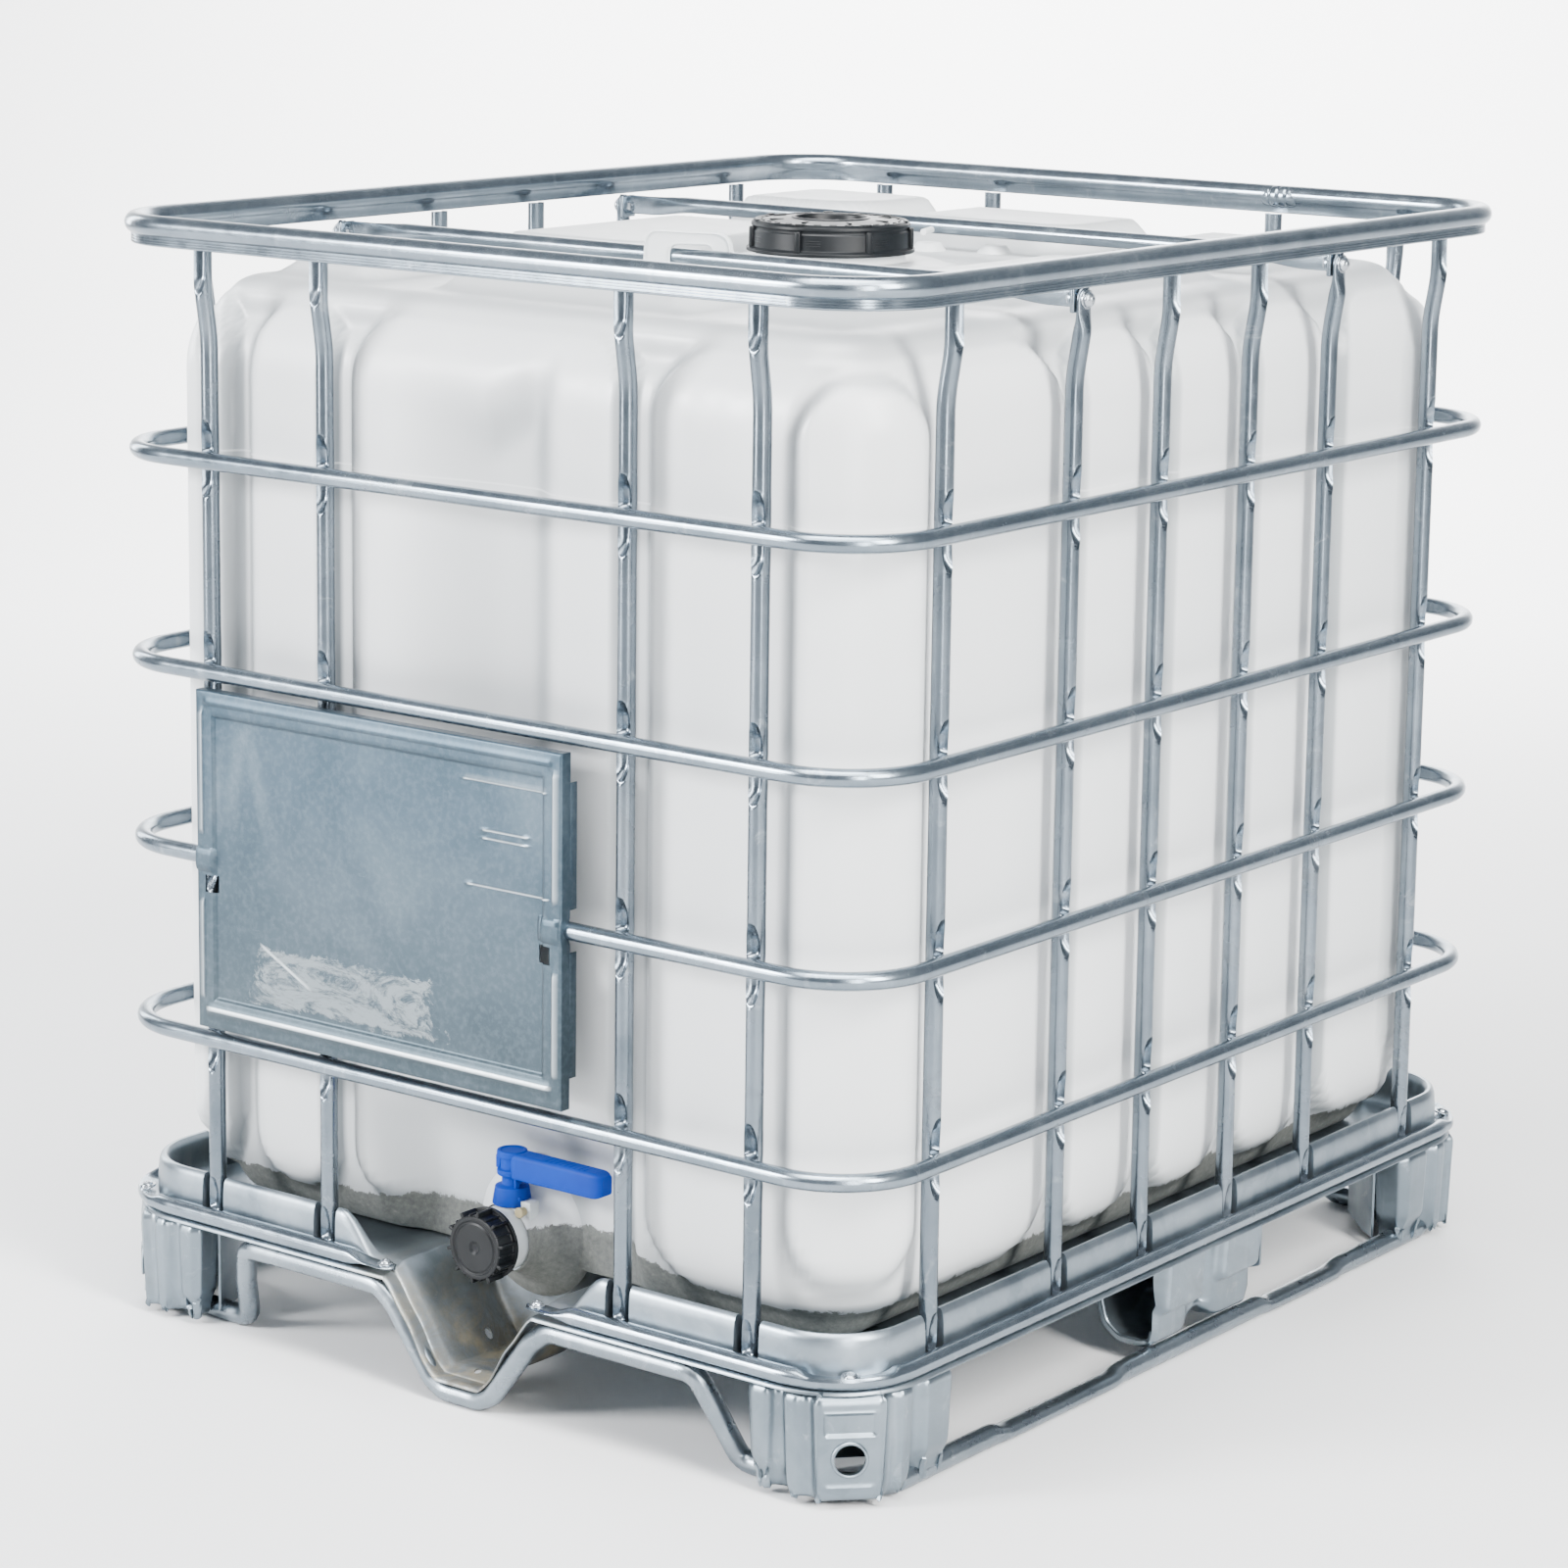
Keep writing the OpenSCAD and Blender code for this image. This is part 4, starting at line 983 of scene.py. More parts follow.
def build_mid_feet():
    """Bent sheet channel, closed at its rear end, with two lobes pressed out of its outer wall."""
    y0, y1, out = -0.058, 0.13, 0.018
    sec = mm([(403, 113.2), (407.5, 62), (415, 36), (433, 22.8), (460, 22.8), (471.5, 26), (474.5, 40),
              (474.5, 113.2)])
    sec = resample(fillet(sec, [0, 0.03, 0.02, 0.02, 0.008, 0.008, 0.014, 0], 6), 0.0022)[:, :2]
    # middle, half length and lower end of each lobe
    lobes = ((-0.0195, 0.0385, 0.056), (0.09, 0.04, 0.064))
    verts = []
    for y in np.linspace(y0, y1, 110):
        for x, z in sec:
            if x > 0.462:
                g = 0.0
                for c, h, low_end in lobes:
                    dy = abs(y - c - 0.1 * (z - 0.085)) - (h - 0.014)
                    dz = low_end + 0.014 - z
                    dist = math.hypot(max(dy, 0), max(dz, 0)) - 0.014
                    g = max(g, fade(-0.008, 0.001, dist))
                # two lower swellings between the lobes and the rail, with a gap between them
                low = max(band(-0.06, -0.052, -0.006, 0.012, y), band(0.034, 0.048, 0.116, 0.128, y))
                x += out * g + 0.0065 * low * (1 - g)
                x -= 0.004 * bell(y - 0.034, 0.01) * smooth(0.03, 0.05, z) * (1 - g)
            z += 0.016 * bell(y - 0.03, 0.022) * fade(0.023, 0.055, z)
            verts.append((x, y, z))
    k = len(sec)
    sheet = merge("channel", [(verts, grid_faces(110, k))])
    thicken(sheet, 0.003, axis=0, beyond=0.474)

    def at(y, z0, z1, pts):
        """The channel's section at y, stepping out with the lobes between two heights."""
        return [(x + (out * smooth(z0, z1, z) if x > 0.466 else 0.0), y, z) for x, z in pts]

    end = at(y1 - 0.004, 0.06, 0.068, sec) + at(y1 - 0.0065, 0.06, 0.068, sec)
    faces = [tuple(range(k)), tuple(reversed(range(k, 2 * k)))]
    faces += [(i, (i + 1) % k, k + (i + 1) % k, k + i) for i in range(k)]
    lip = at(y0 + 0.0045, 0.056, 0.062, [q for q in sec if q[1] < 0.108 and (q[0] < 0.47 or q[1] < 0.04)])
    parts = [take(sheet), (end, faces), sweep(lip, circle(0.0042, 12, 0.75), (0, 1, 0))]
    for name, s in (("foot_mid_right", 1), ("foot_mid_left", -1)):
        piece(name + "_pressing", [mirrored(q, s) for q in parts], "foot", name, auto=38)


# ---------------------------------------------------------------- label plate
PLATE_X0, PLATE_X1, PLATE_Z0, PLATE_Z1 = -0.345, 0.14, 0.334, 0.686
# plain raised lines: height, and the two ends
RULES = [(0.645, 0.015, 0.121), (0.597, 0.042, 0.095), (0.589, 0.042, 0.095), (0.541, 0.019, 0.123)]


def bead(d, half):
    """Round-topped ridge."""
    t = min(1.0, abs(d) / half)
    return math.sqrt(1 - t * t)


def plate_relief(x, z):
    """Offset of the sheet, and how much painted highlight and wear it carries on a crest."""
    x0, x1, z0, z1 = PLATE_X0, PLATE_X1, PLATE_Z0, PLATE_Z1
    ring = RING_Z["ring_3"]
    # pressed field, set back inside a crisp step
    inside = min(x - x0 - 0.024, x1 - 0.024 - x, z - z0 - 0.032, z1 - 0.026 - z)
    out = 0.0033 * smooth(-0.0022, 0.0016, inside)
    run = band(x0 + 0.01, x0 + 0.016, x1 - 0.016, x1 - 0.01, x)
    out -= 0.0026 * bead(z - z0 - 0.02, 0.0042) * run
    out -= 0.0016 * bead(z - z1 + 0.011, 0.0034) * run
    crest = bead(z - z0 - 0.0212, 0.0021) * run
    run = max(band(z0 + 0.03, z0 + 0.036, ring - 0.046, ring - 0.04, z),
              band(ring + 0.026, ring + 0.032, z1 - 0.024, z1 - 0.018, z))
    for xb in (x0 + 0.0085, x1 - 0.0085):
        out -= 0.0018 * bead(x - xb, 0.003) * run
        crest = max(crest, 0.5 * bead(x - xb, 0.0016) * run)
    # saddles over the ring
    for a, b in ((x0, x0 + 0.026), (x1 - 0.03, x1)):
        out -= 0.0036 * bead(z - ring, 0.0125) * band(a - 0.002, a + 0.002, b - 0.004, b, x)
    for zr, a, b in RULES:
        line = fade(0.0003, 0.0015, abs(z - zr)) if a <= x <= b else 0.0
        out -= 0.0018 * line
        crest = max(crest, 0.8 * line)
    return out, crest


def plate_lines(a, b, marks):
    """Grid lines from a to b, with extra ones at each (mark, width)."""
    g = [*np.arange(a, b, 0.005), b]
    for m, w in marks:
        g += [m - w, m - w * 0.5, m, m + w * 0.5, m + w]
    g = sorted(q for q in g if a - 1e-9 <= q <= b + 1e-9)
    out = g[:1]
    for q in g[1:]:
        if q - out[-1] > 0.0003:
            out.append(q)
    out[-1] = b
    return out


def build_plate():
    x0, x1, z0, z1 = PLATE_X0, PLATE_X1, PLATE_Z0, PLATE_Z1
    edge, ring = 0.0022, RING_Z["ring_3"]
    hole_z = (ring - 0.034, ring - 0.016)
    hole_x = ((x0 + 0.012, x0 + 0.028), (x1 - 0.03, x1 - 0.014))
    xs = plate_lines(x0 + edge, x1 - edge, [
        (x0 + 0.011, 0.002), (x1 - 0.011, 0.002), (x0 + 0.024, 0.0024), (x1 - 0.024, 0.0024),
        (x0 + 0.031, 0.002), (x1 - 0.033, 0.002), *((q, 0.0004) for pair in hole_x for q in pair)])
    zs = plate_lines(z0 + edge, z1 - edge, [
        (z0 + 0.02, 0.0036), (z0 + 0.0212, 0.0018), (z1 - 0.026, 0.0024), (z0 + 0.032, 0.0024),
        (z1 - 0.011, 0.003),
        *((rule[0], 0.0015) for rule in RULES), *((ring + k * 0.002, 0.001) for k in range(-7, 8, 2)),
        *((q, 0.0004) for q in hole_z)])
    nx, nz = len(xs), len(zs)
    relief = [plate_relief(x, z) for z in zs for x in xs]
    verts = [(xs[i % nx], max(-0.602 + out, -0.6052), zs[i // nx]) for i, (out, _) in enumerate(relief)]
    faces = []
    for a, b, c, d in grid_faces(nz, nx):
        cx, cz = (verts[a][0] + verts[b][0]) / 2, (verts[a][2] + verts[d][2]) / 2
        if not (hole_z[0] < cz < hole_z[1] and any(p < cx < q for p, q in hole_x)):
            faces.append((a, b, c, d))
    # rolled edge and return, from the grid's border backwards
    border = [(i, 0) for i in range(nx)] + [(nx - 1, j) for j in range(1, nz)]
    border += [(i, nz - 1) for i in range(nx - 2, -1, -1)] + [(0, j) for j in range(nz - 2, 0, -1)]
    prev = first = [j * nx + i for i, j in border]
    for deg, back in ((25, 0), (50, 0), (75, 0), (90, 0), (90, 0.004), (90, 0.0115)):
        out, drop = edge * math.sin(math.radians(deg)), edge * (1 - math.cos(math.radians(deg))) + back
        row = list(range(len(verts), len(verts) + len(border)))
        for (i, j), start in zip(border, first):
            x, y, z = verts[start]
            dx, dz = (i == nx - 1) - (i == 0), (j == nz - 1) - (j == 0)
            verts.append((x + dx * out, y + drop, z + dz * out))
        for k in range(len(border)):
            q = (k + 1) % len(border)
            faces.append((prev[k], prev[q], row[q], row[k]))
        prev = row
    o = fix_normals(make("label_plate_sheet", verts, faces))
    thicken(o, 0.001, axis=1, sign=-1)
    # deeper return beside the openings on the right
    parts = [take(o)]
    for a, b in ((ring + 0.02, z1 - 0.03), (z0 + 0.03, ring - 0.022)):
        parts.append(block((0.0012, 0.01, b - a), (x1 - 0.0008, -0.583, (a + b) / 2), 0.0005, 2))
    o = merge("label_plate_sheet", parts)
    # painted highlight and wear on the crests, read by the material
    note_tone(o, "crest_wear_and_highlight", [crest for _, crest in relief])
    finish_piece(o, "plate", "label_plate", auto=40)


# ---------------------------------------------------------------- tank
TANK = TANK_HX, TANK_HY, TANK_R = 0.4575, 0.5575, 0.105
SHOULDER_Z0, SHOULDER_H, SHOULDER_IN = 1.0, 0.096, 0.085
SKIRT_Z, BASE_Z, BASE_IN = 0.24, 0.127, 0.042
AROUND = 4 * (TANK_HX + TANK_HY - 2 * TANK_R) + 2 * math.pi * TANK_R
WALL_STEP, WALL_RISE = 0.0066, 0.0125
# raised pads of the wall, from one place round the tank to another, with their corner radius
PADS = (
    ("front", 0.19, "right", -0.206, 0.075), ("right", -0.186, "right", -0.044, 0.055),
    ("right", -0.02, "right", 0.116, 0.055), ("right", 0.138, "right", 0.29, 0.06),
    ("right", 0.312, "rear", 0.19, 0.075), ("rear", 0.165, "rear", -0.165, 0.06),
    ("rear", -0.19, "left", 0.312, 0.075), ("left", 0.29, "left", 0.138, 0.06),
    ("left", 0.116, "left", -0.02, 0.055), ("left", -0.044, "left", -0.186, 0.055),
    ("left", -0.206, "front", -0.35, 0.075), ("front", -0.328, "front", -0.216, 0.052),
    ("front", -0.19, "front", 0.165, 0.06))
# raised middles of the four corner pads
CORES = (("front", 0.366, "right", -0.44, 0.07), ("right", 0.44, "rear", 0.366, 0.07),
         ("rear", -0.366, "left", 0.44, 0.07), ("left", -0.44, "front", -0.366, 0.07))
# blocks on the top: x and y range, height, corner radius
BLOCKS = (
    (-0.43, -0.235, -0.5, -0.278, 1.118, 0.05), (-0.15, 0.172, -0.505, -0.278, 1.116, 0.05),
    (0.245, 0.43, -0.5, -0.278, 1.114, 0.05), (-0.4, -0.128, -0.135, 0.195, 1.118, 0.07),
    (0.15, 0.42, -0.19, 0.195, 1.11, 0.06), (-0.445, -0.165, 0.276, 0.535, 1.133, 0.08),
    (-0.135, 0.12, 0.276, 0.53, 1.126, 0.06), (0.18, 0.44, 0.276, 0.53, 1.118, 0.07))


def box_distance(dx, dy, r):
    """Signed distance to a rounded rectangle, from the overshoot past its corner centres."""
    return math.hypot(max(dx, 0), max(dy, 0)) + min(max(dx, dy), 0) - r


def along(side, q):
    """Distance round the tank of coordinate q on a side."""
    n = {"right": (1, 0), "rear": (0, 1), "left": (-1, 0), "front": (0, -1)}[side]
    return perimeter((q, q), n, *TANK)


def spans(areas):
    """Middle, half width and corner radius of each area, round the tank."""
    out = []
    for side_a, a, side_b, b, r in areas:
        a, b = along(side_a, a), along(side_b, b)
        b += AROUND if b < a else 0
        out.append(((a + b) / 2, (b - a) / 2, r))
    return out


def cover(areas, s, z, z0, z1, soft):
    """How fully the point is on one of the areas that run from z0 to z1."""
    best = 0.0
    for c, h, r in areas:
        dx = abs((s - c + AROUND / 2) % AROUND - AROUND / 2) - (h - r)
        dz = abs(z - (z0 + z1) / 2) - ((z1 - z0) / 2 - r)
        best = max(best, fade(*soft, box_distance(dx, dz, r)))
    return best


def top_height(x, y):
    """Height of the top: its blocks, and the level part round the filling neck."""
    base = z = 1.0955
    for x0, x1, y0, y1, top, r in BLOCKS:
        dx = abs(x - (x0 + x1) / 2) - ((x1 - x0) / 2 - r)
        dy = abs(y - (y0 + y1) / 2) - ((y1 - y0) / 2 - r)
        z += (top - base) * fade(-0.026, 0.004, box_distance(dx, dy, r))
    return z + (1.104 - z) * fade(0.104, 0.15, math.hypot(x, y))


def tank_rows():
    """Height and inset of each row of the wall: skirt, wall, shoulder."""
    rows = [(SKIRT_Z - (SKIRT_Z - BASE_Z) * math.sin(a), BASE_IN * (1 - math.cos(a)))
            for a in np.radians(np.linspace(90, 0, 14)[:-1])]
    rows += [(z, 0.0) for z in (*np.arange(SKIRT_Z, SHOULDER_Z0, WALL_RISE), SHOULDER_Z0)]
    rows += [(SHOULDER_Z0 + SHOULDER_H * math.sin(a), SHOULDER_IN * (1 - math.cos(a)))
             for a in np.radians(np.linspace(0, 90, 22)[1:])]
    return rows


def front_hollow(x, z):
    """Hollow in the middle of the front, with a bulge over it."""
    lid = 0.985 + 0.55 * max(0.0, x + 0.01) + 0.18 * max(0.0, -0.01 - x)
    return 0.019 * band(-0.15, 0.01, 0.042, 0.084, x) * fade(lid - 0.04, lid + 0.04, z)


def build_tank():
    pts, nor = rounded_rect(*TANK, WALL_STEP)
    m = len(pts)
    where = [perimeter(p, n, *TANK) % AROUND for p, n in zip(pts, nor)]
    pads, cores = spans(PADS), spans(CORES)
    verts, sunk = [], []
    for z, inset in tank_rows():
        level = fade(0.55, 1.0, (z - SHOULDER_Z0) / SHOULDER_H)
        for p, n, s in zip(pts, nor, where):
            # how far the wall lies behind its outermost face
            depth = 0.03 - 0.018 * cover(pads, s, z, 0.158, 1.082, (-0.011, 0.004))
            depth -= 0.012 * cover(cores, s, z, 0.188, 1.066, (-0.018, 0.002))
            d = inset + depth * level
            x, y = p - n * d
            hollow = 0.0
            if y < -0.4 and n[1] < -0.9:
                hollow = front_hollow(x, z)
                y += hollow
                # recess round the outlet valve
                w = fade(0.128, 0.176, abs(x))
                if w > 0 and z < 0.35:
                    floor_y = -0.4785 - (TANK_HY - 0.4785) * smooth(0.245, 0.345, z)
                    y = y * (1 - w) + max(y, floor_y) * w
            sunk.append(d - inset + hollow)
            verts.append((x, y, z))
    # top, closing in on the filling neck
    last = verts[-m:]
    ring = [(math.cos(a), math.sin(a)) for a in (math.atan2(y, x) for x, y, _ in last)]
    steps = 46
    for k in range(1, steps + 1):
        t = k / steps
        edge = smooth(0.0, 0.1, t)
        for (x, y, z), (c, s) in zip(last, ring):
            x, y = x * (1 - t) + 0.0795 * c * t, y * (1 - t) + 0.0795 * s * t
            verts.append((x, y, z * (1 - edge) + top_height(x, y) * edge))
    # neck with its thread run-in, and the bore
    for r, z in mm([(79.2, 1106), (79, 1108), (79, 1133.5), (78.2, 1135.5), (76, 1136), (73.8, 1135.2),
                    (73, 1133), (73, 1080), (76, 1074)]):
        verts += [(r * c, r * s, z) for c, s in ring]
    faces = grid_faces(len(verts) // m, m, wrap_c=True)
    # underside
    low = verts[:m]
    outer = list(range(m))
    for t in (0.82, 0.55, 0.25):
        inner = list(range(len(verts), len(verts) + m))
        verts += [(x * t, y * t, BASE_Z) for x, y, _ in low]
        for i in range(m):
            q = (i + 1) % m
            faces.append((outer[q], outer[i], inner[i], inner[q]))
        outer = inner
    faces += [(outer[(i + 1) % m], outer[i], len(verts)) for i in range(m)]
    verts.append((0, 0, BASE_Z))
    # conical boss that carries the valve
    boss = mm([(34.5, 524), (35.2, 523.6), (36.2, 518), (38.5, 508), (43, 498), (50, 489),
               (59, 482), (68, 478), (74, 470)])
    o = merge("tank_shell", [(verts, faces), turned(boss, 64, "-y", (0, 0, OUTLET_Z), capped=False)])
    # painted shade for the material: the wall is greyed where it is steep or lies deep, in its grooves and
    # hollows
    sunk = np.array(sunk).reshape(-1, m)
    round_slope = (np.roll(sunk, -1, 1) - np.roll(sunk, 1, 1)) / (2 * WALL_STEP)
    slope = np.hypot(round_slope, np.gradient(sunk, axis=0) / WALL_RISE)
    tone = 0.72 * np.clip(slope / 0.9, 0, 1) + 0.3 * np.clip((sunk - 0.012) / 0.018, 0, 1)
    note_tone(o, "drawn", tone.ravel())
    finish_piece(o, "tank", "tank", auto=None)


def arch_data():
    """Moulded loop over a crossbar: two legs and a rounded top, with a slot between the legs."""
    outer = fillet(mm([(-50, 1094), (-47, 1149), (43, 1149), (50, 1094)]), [0, 0.014, 0.018, 0])
    inner = fillet(mm([(-20, 1094), (-20, 1135), (26, 1135), (28, 1094)]), [0, 0.01, 0.01, 0])
    a = resample(outer, 0.003)
    b = resample(inner, distances(np.array(inner))[-1] / (len(a) - 1))
    n = min(len(a), len(b))
    a, b = a[:n], b[:n]
    centre = (a + b) / 2
    t, bev = 0.0052, 0.0018
    half = [(bev, t), (bev * 0.3, t - bev * 0.3), (0.0, t - bev)]
    layers = [(inset, -y) for inset, y in reversed(half)] + half
    verts = []
    for side, order in ((a, layers), (b, layers[::-1])):
        inward = unit(centre - side)
        for inset, y in order:
            verts += [(q[0], y, q[1]) for q in side + inward * inset]
    rows = len(layers) * 2
    faces = grid_faces(rows, n, wrap_r=True)
    faces += [tuple(k * n for k in range(rows)), tuple(k * n + n - 1 for k in reversed(range(rows)))]
    return verts, faces


def build_loops():
    foot = rounded(mm([(0.1, 8), (13, 8), (19, 0), (21, -4)]), 0.003, 4)
    for name, y in (("loop_front", -BAR_Y), ("loop_rear", BAR_Y)):
        at = shift(0, y, 0) @ spin(20)
        parts = [place(arch_data(), at)]
        parts += [place(turned(foot, 32), at @ shift(u, 0, 1.0965)) for u in (-0.036, 0.039)]
        o = merge(name + "_arch", parts)
        if name == "loop_rear":
            pin = turned([(0.0035, -0.03), (0.0035, 0.03)], 24)
            cut(o, merge("loop_hole", [place(pin, at @ shift(-0.034, 0, 1.118) @ spin(90, "X"))]))
        finish_piece(o, "loop", name, auto=40)


# ---------------------------------------------------------------- caps and valve
def ring_of(count, start, size, bevel, segs, radius, z):
    """Small blocks set round the vertical axis."""
    lug = block(size, (0, 0, 0), bevel, segs)
    return [place(lug, spin(start + 360 * i / count) @ shift(radius, 0, z)) for i in range(count)]


def build_fill_cap():
    z0 = FILL_CAP_Z
    shell = mm([(0.1, 23.5), (80.4, 23.5), (80.4, 1)], z0) + rounded(mm([
        (80, 1), (89, 0), (89, 3.6), (86.8, 5), (85, 6.2), (84.6, 22.5), (83.2, 24), (83.2, 26.2),
        (84.2, 27.2), (83.8, 30.2), (80, 33), (78.2, 33), (76.8, 31.8), (56, 33.8), (42, 34.4), (41, 35.8),
        (38.6, 35.8), (37.8, 34), (36.6, 26), (35, 24), (0.1, 24)], z0), 0.0007)
    button = rounded(mm([(0.1, 26.2), (12, 26.2), (14, 24)], z0), 0.0008)
    parts = [turned(shell, 140, capped=False), turned(button, 40, capped=False)]
    parts += ring_of(7, 26, (0.0062, 0.0072, 0.0235), 0.0022, 4, 0.0855, z0 + 0.015)
    parts += ring_of(7, 26, (0.005, 0.01, 0.003), 0.001, 3, 0.08, z0 + 0.0325)
    parts += ring_of(8, 10, (0.015, 0.0022, 0.0016), 0.0006, 2, 0.06, z0 + 0.0338)
    parts += ring_of(28, 0, (0.0016, 0.008, 0.001), 0.0004, 2, 0.073, z0 + 0.0328)
    # fine grip lines beside every lug
    for i in range(7):
        turns = 2 * math.pi * i / 7 + math.radians(26) + np.linspace(0.085, 0.3, 9)
        for z in (0.0115, 0.0141, 0.0167):
            line = [(0.0847 * math.cos(t), 0.0847 * math.sin(t), z0 + z) for t in turns]
            parts.append(sweep(line, lambda k: circle(0.0005 if 0 < k < 8 else 0.0001, 8), (0, 0, 1)))
    piece("fill_cap_moulding", parts, "black", "fill_cap", body="fill_lid", auto=38)


def build_outlet_cap():
    f = -OUTLET_CAP_Y
    shell = rounded(mm([
        (0.1, -3), (4.5, -2.6), (7, -0.6), (24, -0.4), (25.5, -1.4), (27, -1.4), (28.2, -0.2), (31.6, -0.2),
        (32.6, -1.6), (32.6, -20.8), (33.4, -21.8), (36.6, -22.2), (36.8, -25.6), (30, -25.8), (30, -6),
        (0.1, -6)], f), 0.0006)
    parts = [turned(shell, 110, "-y", (0, 0, OUTLET_Z), capped=False)]
    at = shift(0, 0.0118 - f, OUTLET_Z) @ spin(90, "X")
    # ten tall fins with a low one between each pair
    for start, depth, width in ((12, 0.005, 0.0034), (30, 0.0018, 0.0022)):
        fins = ring_of(10, start, (depth + 0.003, width, 0.0222), 0.001, 3, 0.031 + depth / 2, 0)
        parts += [place(fin, at) for fin in fins]
    piece("outlet_cap_moulding", parts, "black", "outlet_cap", body="outlet_lid", auto=38)


def build_valve():
    body = rounded(mm([
        (34.5, 0), (34.5, 10), (33, 11.5), (33, 50), (32.2, 63), (29.5, 64), (29.5, 82), (28.4, 83),
        (25.4, 83), (25.2, 81), (25.2, 0)], 0.478), 0.0009)
    neck = rounded(mm([(20.5, 20), (17.5, 31), (15.2, 36), (15, 44.5), (14.2, 45.5), (6.4, 45.5),
                       (6.4, 26)]), 0.0008)
    piece("valve_housing", [
        hoop(body, 90, axis="-y", origin=(0, 0, OUTLET_Z)),
        turned(neck, 48, origin=(0, STEM_Y, OUTLET_Z), capped=False),
        block((0.014, 0.015, 0.02), (0.023, STEM_Y, OUTLET_Z + 0.03), 0.0016),
        block((0.012, 0.005, 0.018), (-0.018, STEM_Y, OUTLET_Z + 0.03), 0.0012),
    ], "valve", "valve_body", auto=38)
    pin = rounded(mm([(0.1, 0), (4.4, 0), (4.4, 5.8), (5.4, 6.4), (5.4, 8.4), (4, 9), (0.1, 9.1)]), 0.0006)
    parts = [turned(pin, 28, "-y", (0.023, STEM_Y - 0.0083, OUTLET_Z + 0.031))]
    piece("lever_pin_turned", parts, "beige", "lever_pin")


def lever_grip():
    """Rounded box section, its upper edges softer, with a chamfered end."""
    x_end = 0.1235
    xs = [0.006, 0.0066, 0.008, 0.0104, *np.linspace(0.016, x_end - 0.012, 26)]
    xs += [x_end - d for d in (0.008, 0.0045, 0.002, 0.0005, 0.0)]
    verts = []
    for x in xs:
        near, far = x - xs[0], xs[-1] - x
        pull = 0.0
        if near < 0.0045:
            pull = 0.0045 - math.sqrt(max(0.0, 0.0045 ** 2 - (0.0045 - near) ** 2))
        if far < 0.012:
            pull = max(pull, 0.0046 * (1 - far / 0.012) ** 2.2)
        half = 0.0122 - pull - 0.0006 * smooth(0.02, 0.1, x)
        top, bottom = 0.011 - pull * 0.6, -0.015 + pull * 0.8
        r_top, r_bottom = min(0.0052, half * 0.6), min(0.0024, half * 0.4)
        corners = [(half, bottom), (half, top), (-half, top), (-half, bottom)]
        sec = fillet(corners, [r_bottom, r_top, r_top, r_bottom], 6, closed=True)
        verts += [(x, STEM_Y + q[0], LEVER_Z + q[1]) for q in sec]
    m = len(verts) // len(xs)
    return close_ends(verts, grid_faces(len(xs), m, wrap_c=True), m)


def build_lever():
    lz = LEVER_Z
    hub = mm([(0.1, 11.2), (11.2, 11.2), (11.8, 12.2), (15, 12), (15.5, 10.5), (15.5, 5.5), (12, 4.8),
              (11.6, -7), (15, -7.6), (15.5, -8.8), (15.2, -12.6), (14.2, -13.6), (11.2, -13.8),
              (10.4, -17)], lz)
    hub += mm([(10.4, 53.5), (17, 51.8), (17.6, 47), (16, 46.6), (6.6, 46.6)], OUTLET_Z)
    skirt = rounded(mm([(17.2, 51.2), (20, 34), (18.6, 33.6), (16.4, 48)], OUTLET_Z), 0.0006, 2)
    parts = [lever_grip(), turned(rounded(hub, 0.0007), 56, origin=(0, STEM_Y, 0)),
             hoop(skirt, 56, origin=(0, STEM_Y, 0))]
    # wall of the hub that rises beside the grip, and the catch below it
    for size, (x, dy, dz), bevel in (((0.006, 0.016, 0.014), (-0.0122, 0.0, -0.001), 0.0012),
                                     ((0.003, 0.006, 0.034), (0.0112, -0.006, -0.029), 0.001),
                                     ((0.009, 0.003, 0.004), (0.014, -0.008, -0.035), 0.0008)):
        parts.append(block(size, (x, STEM_Y + dy, lz + dz), bevel))
    for k in range(9):
        parts.append(block((0.0016, 0.016, 0.001), (0.05 + 0.0062 * k, STEM_Y, lz + 0.0108), 0.0004, 2))
    piece("lever_moulding", parts, "blue", "valve_lever", body="valve_handle", auto=38)


# ---------------------------------------------------------------- carried-over nodes
def keep_nodes():
    for name, look in (("crossbar_nuts", "zinc"), ("valve_disc", "valve"), ("valve_stem", "blue"),
                       ("fill_gasket", "rubber"), ("outlet_gasket", "rubber")):
        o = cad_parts[name]
        o.data.materials.clear()
        o.data.materials.append(M[look])


# ---------------------------------------------------------------- surroundings
def build_floor():
    """Pale sweep that rises behind the container."""
    n, bend = 64, 3.0
    rows = [(-9.0, 0.0), (-4.0, 0.0), (0.0, 0.0), (4.0, 0.0)]
    rows += [(4.0 + bend * math.sin(t), bend * (1 - math.cos(t)))
             for t in np.linspace(0.1, math.pi / 2, 14)]
    rows.append((7.0, 9.0))
    verts = [(x, y, z) for y, z in rows for x in np.linspace(-12, 12, n)]
    o = make("studio_floor", verts, grid_faces(len(rows), n))
    o.data.transform(spin(CAM_AZ))
    nm = Nodes("pale_floor")
    tone = nm.noise(0.8, 2.0, 0.5)
    col = nm.ramp(tone, [(0.3, (0.9, 0.9, 0.9)), (0.7, (0.93, 0.93, 0.93))])
    o.data.materials.append(nm.out(Base_Color=col, Roughness=nm.span(tone, 0.3, 0.7, 0.85, 0.95)))


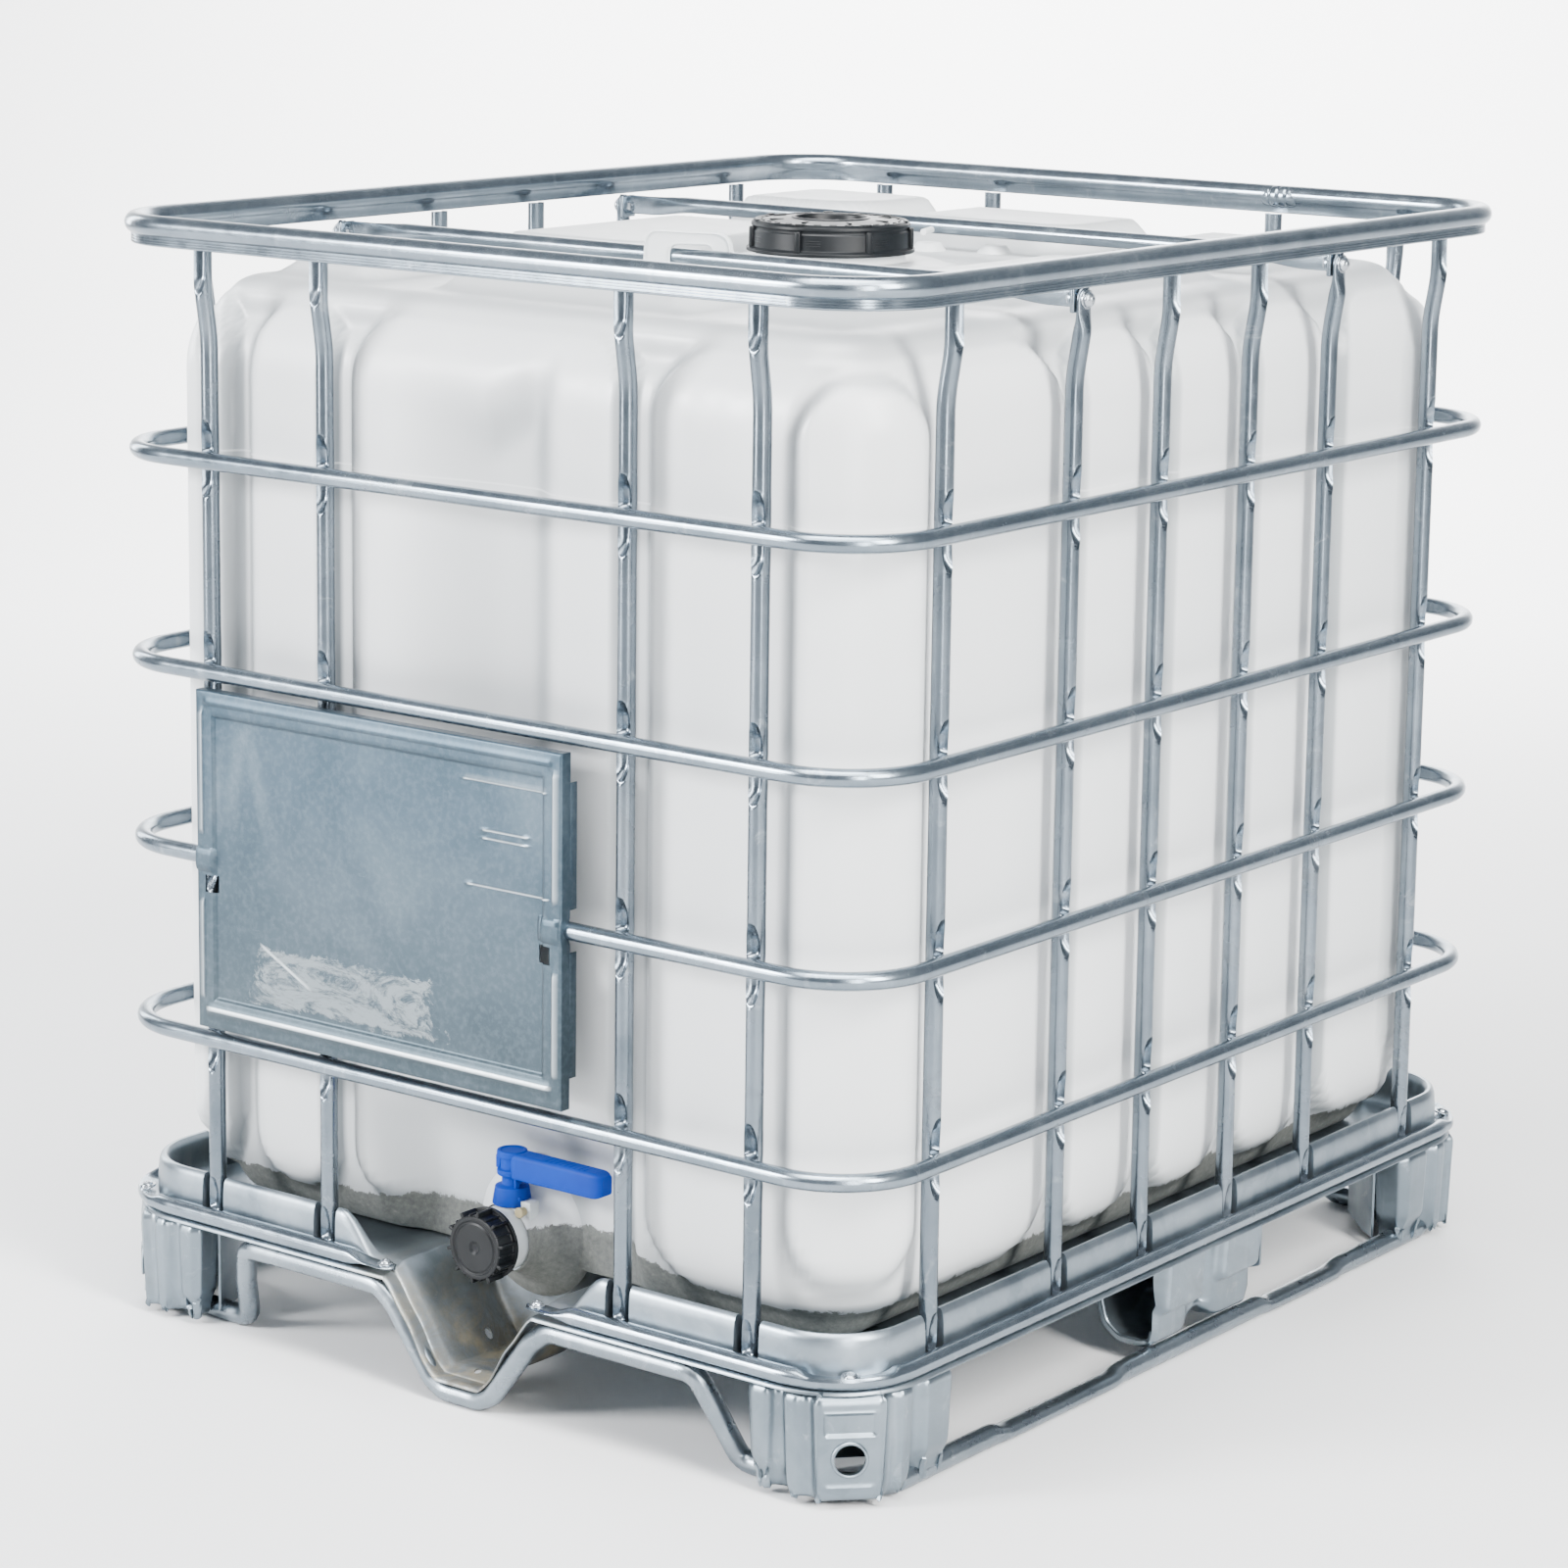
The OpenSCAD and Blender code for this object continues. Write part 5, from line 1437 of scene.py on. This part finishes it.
def build_camera():
    """The camera fitted to the photo: its direction, roll, place and lens."""
    az, el, roll = map(math.radians, (CAM_AZ, CAM_EL, CAM_ROLL))
    back = Vector((math.sin(az) * math.cos(el), -math.cos(az) * math.cos(el), math.sin(el)))
    right = (-back).cross(Vector((0, 0, 1))).normalized()
    up = right.cross(-back)
    across = right * math.cos(roll) + up * math.sin(roll)
    upright = up * math.cos(roll) - right * math.sin(roll)
    data = bpy.data.cameras.new("photo_view")
    data.sensor_width = 36.0
    data.lens = 101.7
    data.shift_x, data.shift_y = -0.0144, -0.0828
    data.clip_end = 60.0
    cam = bpy.data.objects.new("photo_view", data)
    bpy.context.scene.collection.objects.link(cam)
    m = Matrix((across, upright, back)).transposed().to_4x4()
    m.translation = Vector((2.7921, -3.7438, 1.5616))
    cam.matrix_world = m
    bpy.context.scene.camera = cam


# name, place, target, width, height, watts, colour, whether it only shows in reflections
LIGHTS = (
    ("key_right", (4.4, -1.4, 3.0), (0, 0, 0.6), 1.2, 2.8, 590, (1.0, 0.99, 0.97), False),
    ("front_fill", (-2.6, -4.4, 2.6), (0, 0, 0.6), 1.6, 1.2, 470, (0.97, 0.98, 1.0), False),
    ("overhead", (0.4, -1.2, 4.4), (0, 0, 0.8), 2.6, 1.4, 210, (1, 1, 1), False),
    ("left_edge", (-4.4, 0.2, 2.0), (0, 0, 0.7), 0.9, 2.6, 150, (0.95, 0.98, 1.0), False),
    ("gloss_above", (0.9, -1.8, 3.9), (0, 0, 0.6), 4.2, 2.6, 480, (1, 1, 1), True),
    ("gloss_left", (-2.6, -4.3, 1.5), (0, 0, 0.6), 0.7, 2.8, 260, (1, 1, 1), True),
    ("gloss_right", (3.6, -2.9, 1.6), (0, 0, 0.6), 0.6, 2.8, 190, (1, 1, 1), True),
    ("backdrop", (-2.6, 4.4, 3.6), (-3.4, 6.0, 0.6), 4.0, 4.0, 900, (1, 1, 1), False))


def build_light():
    world = bpy.data.worlds.new("studio")
    bpy.context.scene.world = world
    world.use_nodes = True
    sky = world.node_tree.nodes["Background"]
    sky.inputs["Color"].default_value = (0.8, 0.88, 1.0, 1.0)
    sky.inputs["Strength"].default_value = 0.38
    for name, loc, target, width, height, watts, colour, gloss_only in LIGHTS:
        data = bpy.data.lights.new(name, "AREA")
        data.shape = "RECTANGLE"
        data.size, data.size_y = width, height
        data.energy = watts
        data.color = colour
        o = bpy.data.objects.new(name, data)
        bpy.context.scene.collection.objects.link(o)
        o.location = loc
        o.rotation_euler = (Vector(target) - Vector(loc)).to_track_quat("-Z", "Y").to_euler()
        o.visible_diffuse = not gloss_only


build_rings()
build_rim()
build_posts()
build_bottom_ring()
build_crossbars()
build_bar_fasteners()
build_tray_screws()
build_rail()
build_tray()
build_corner_feet()
build_mid_feet()
build_plate()
build_tank()
build_loops()
build_fill_cap()
build_outlet_cap()
build_valve()
build_lever()
keep_nodes()
build_floor()
build_camera()
build_light()
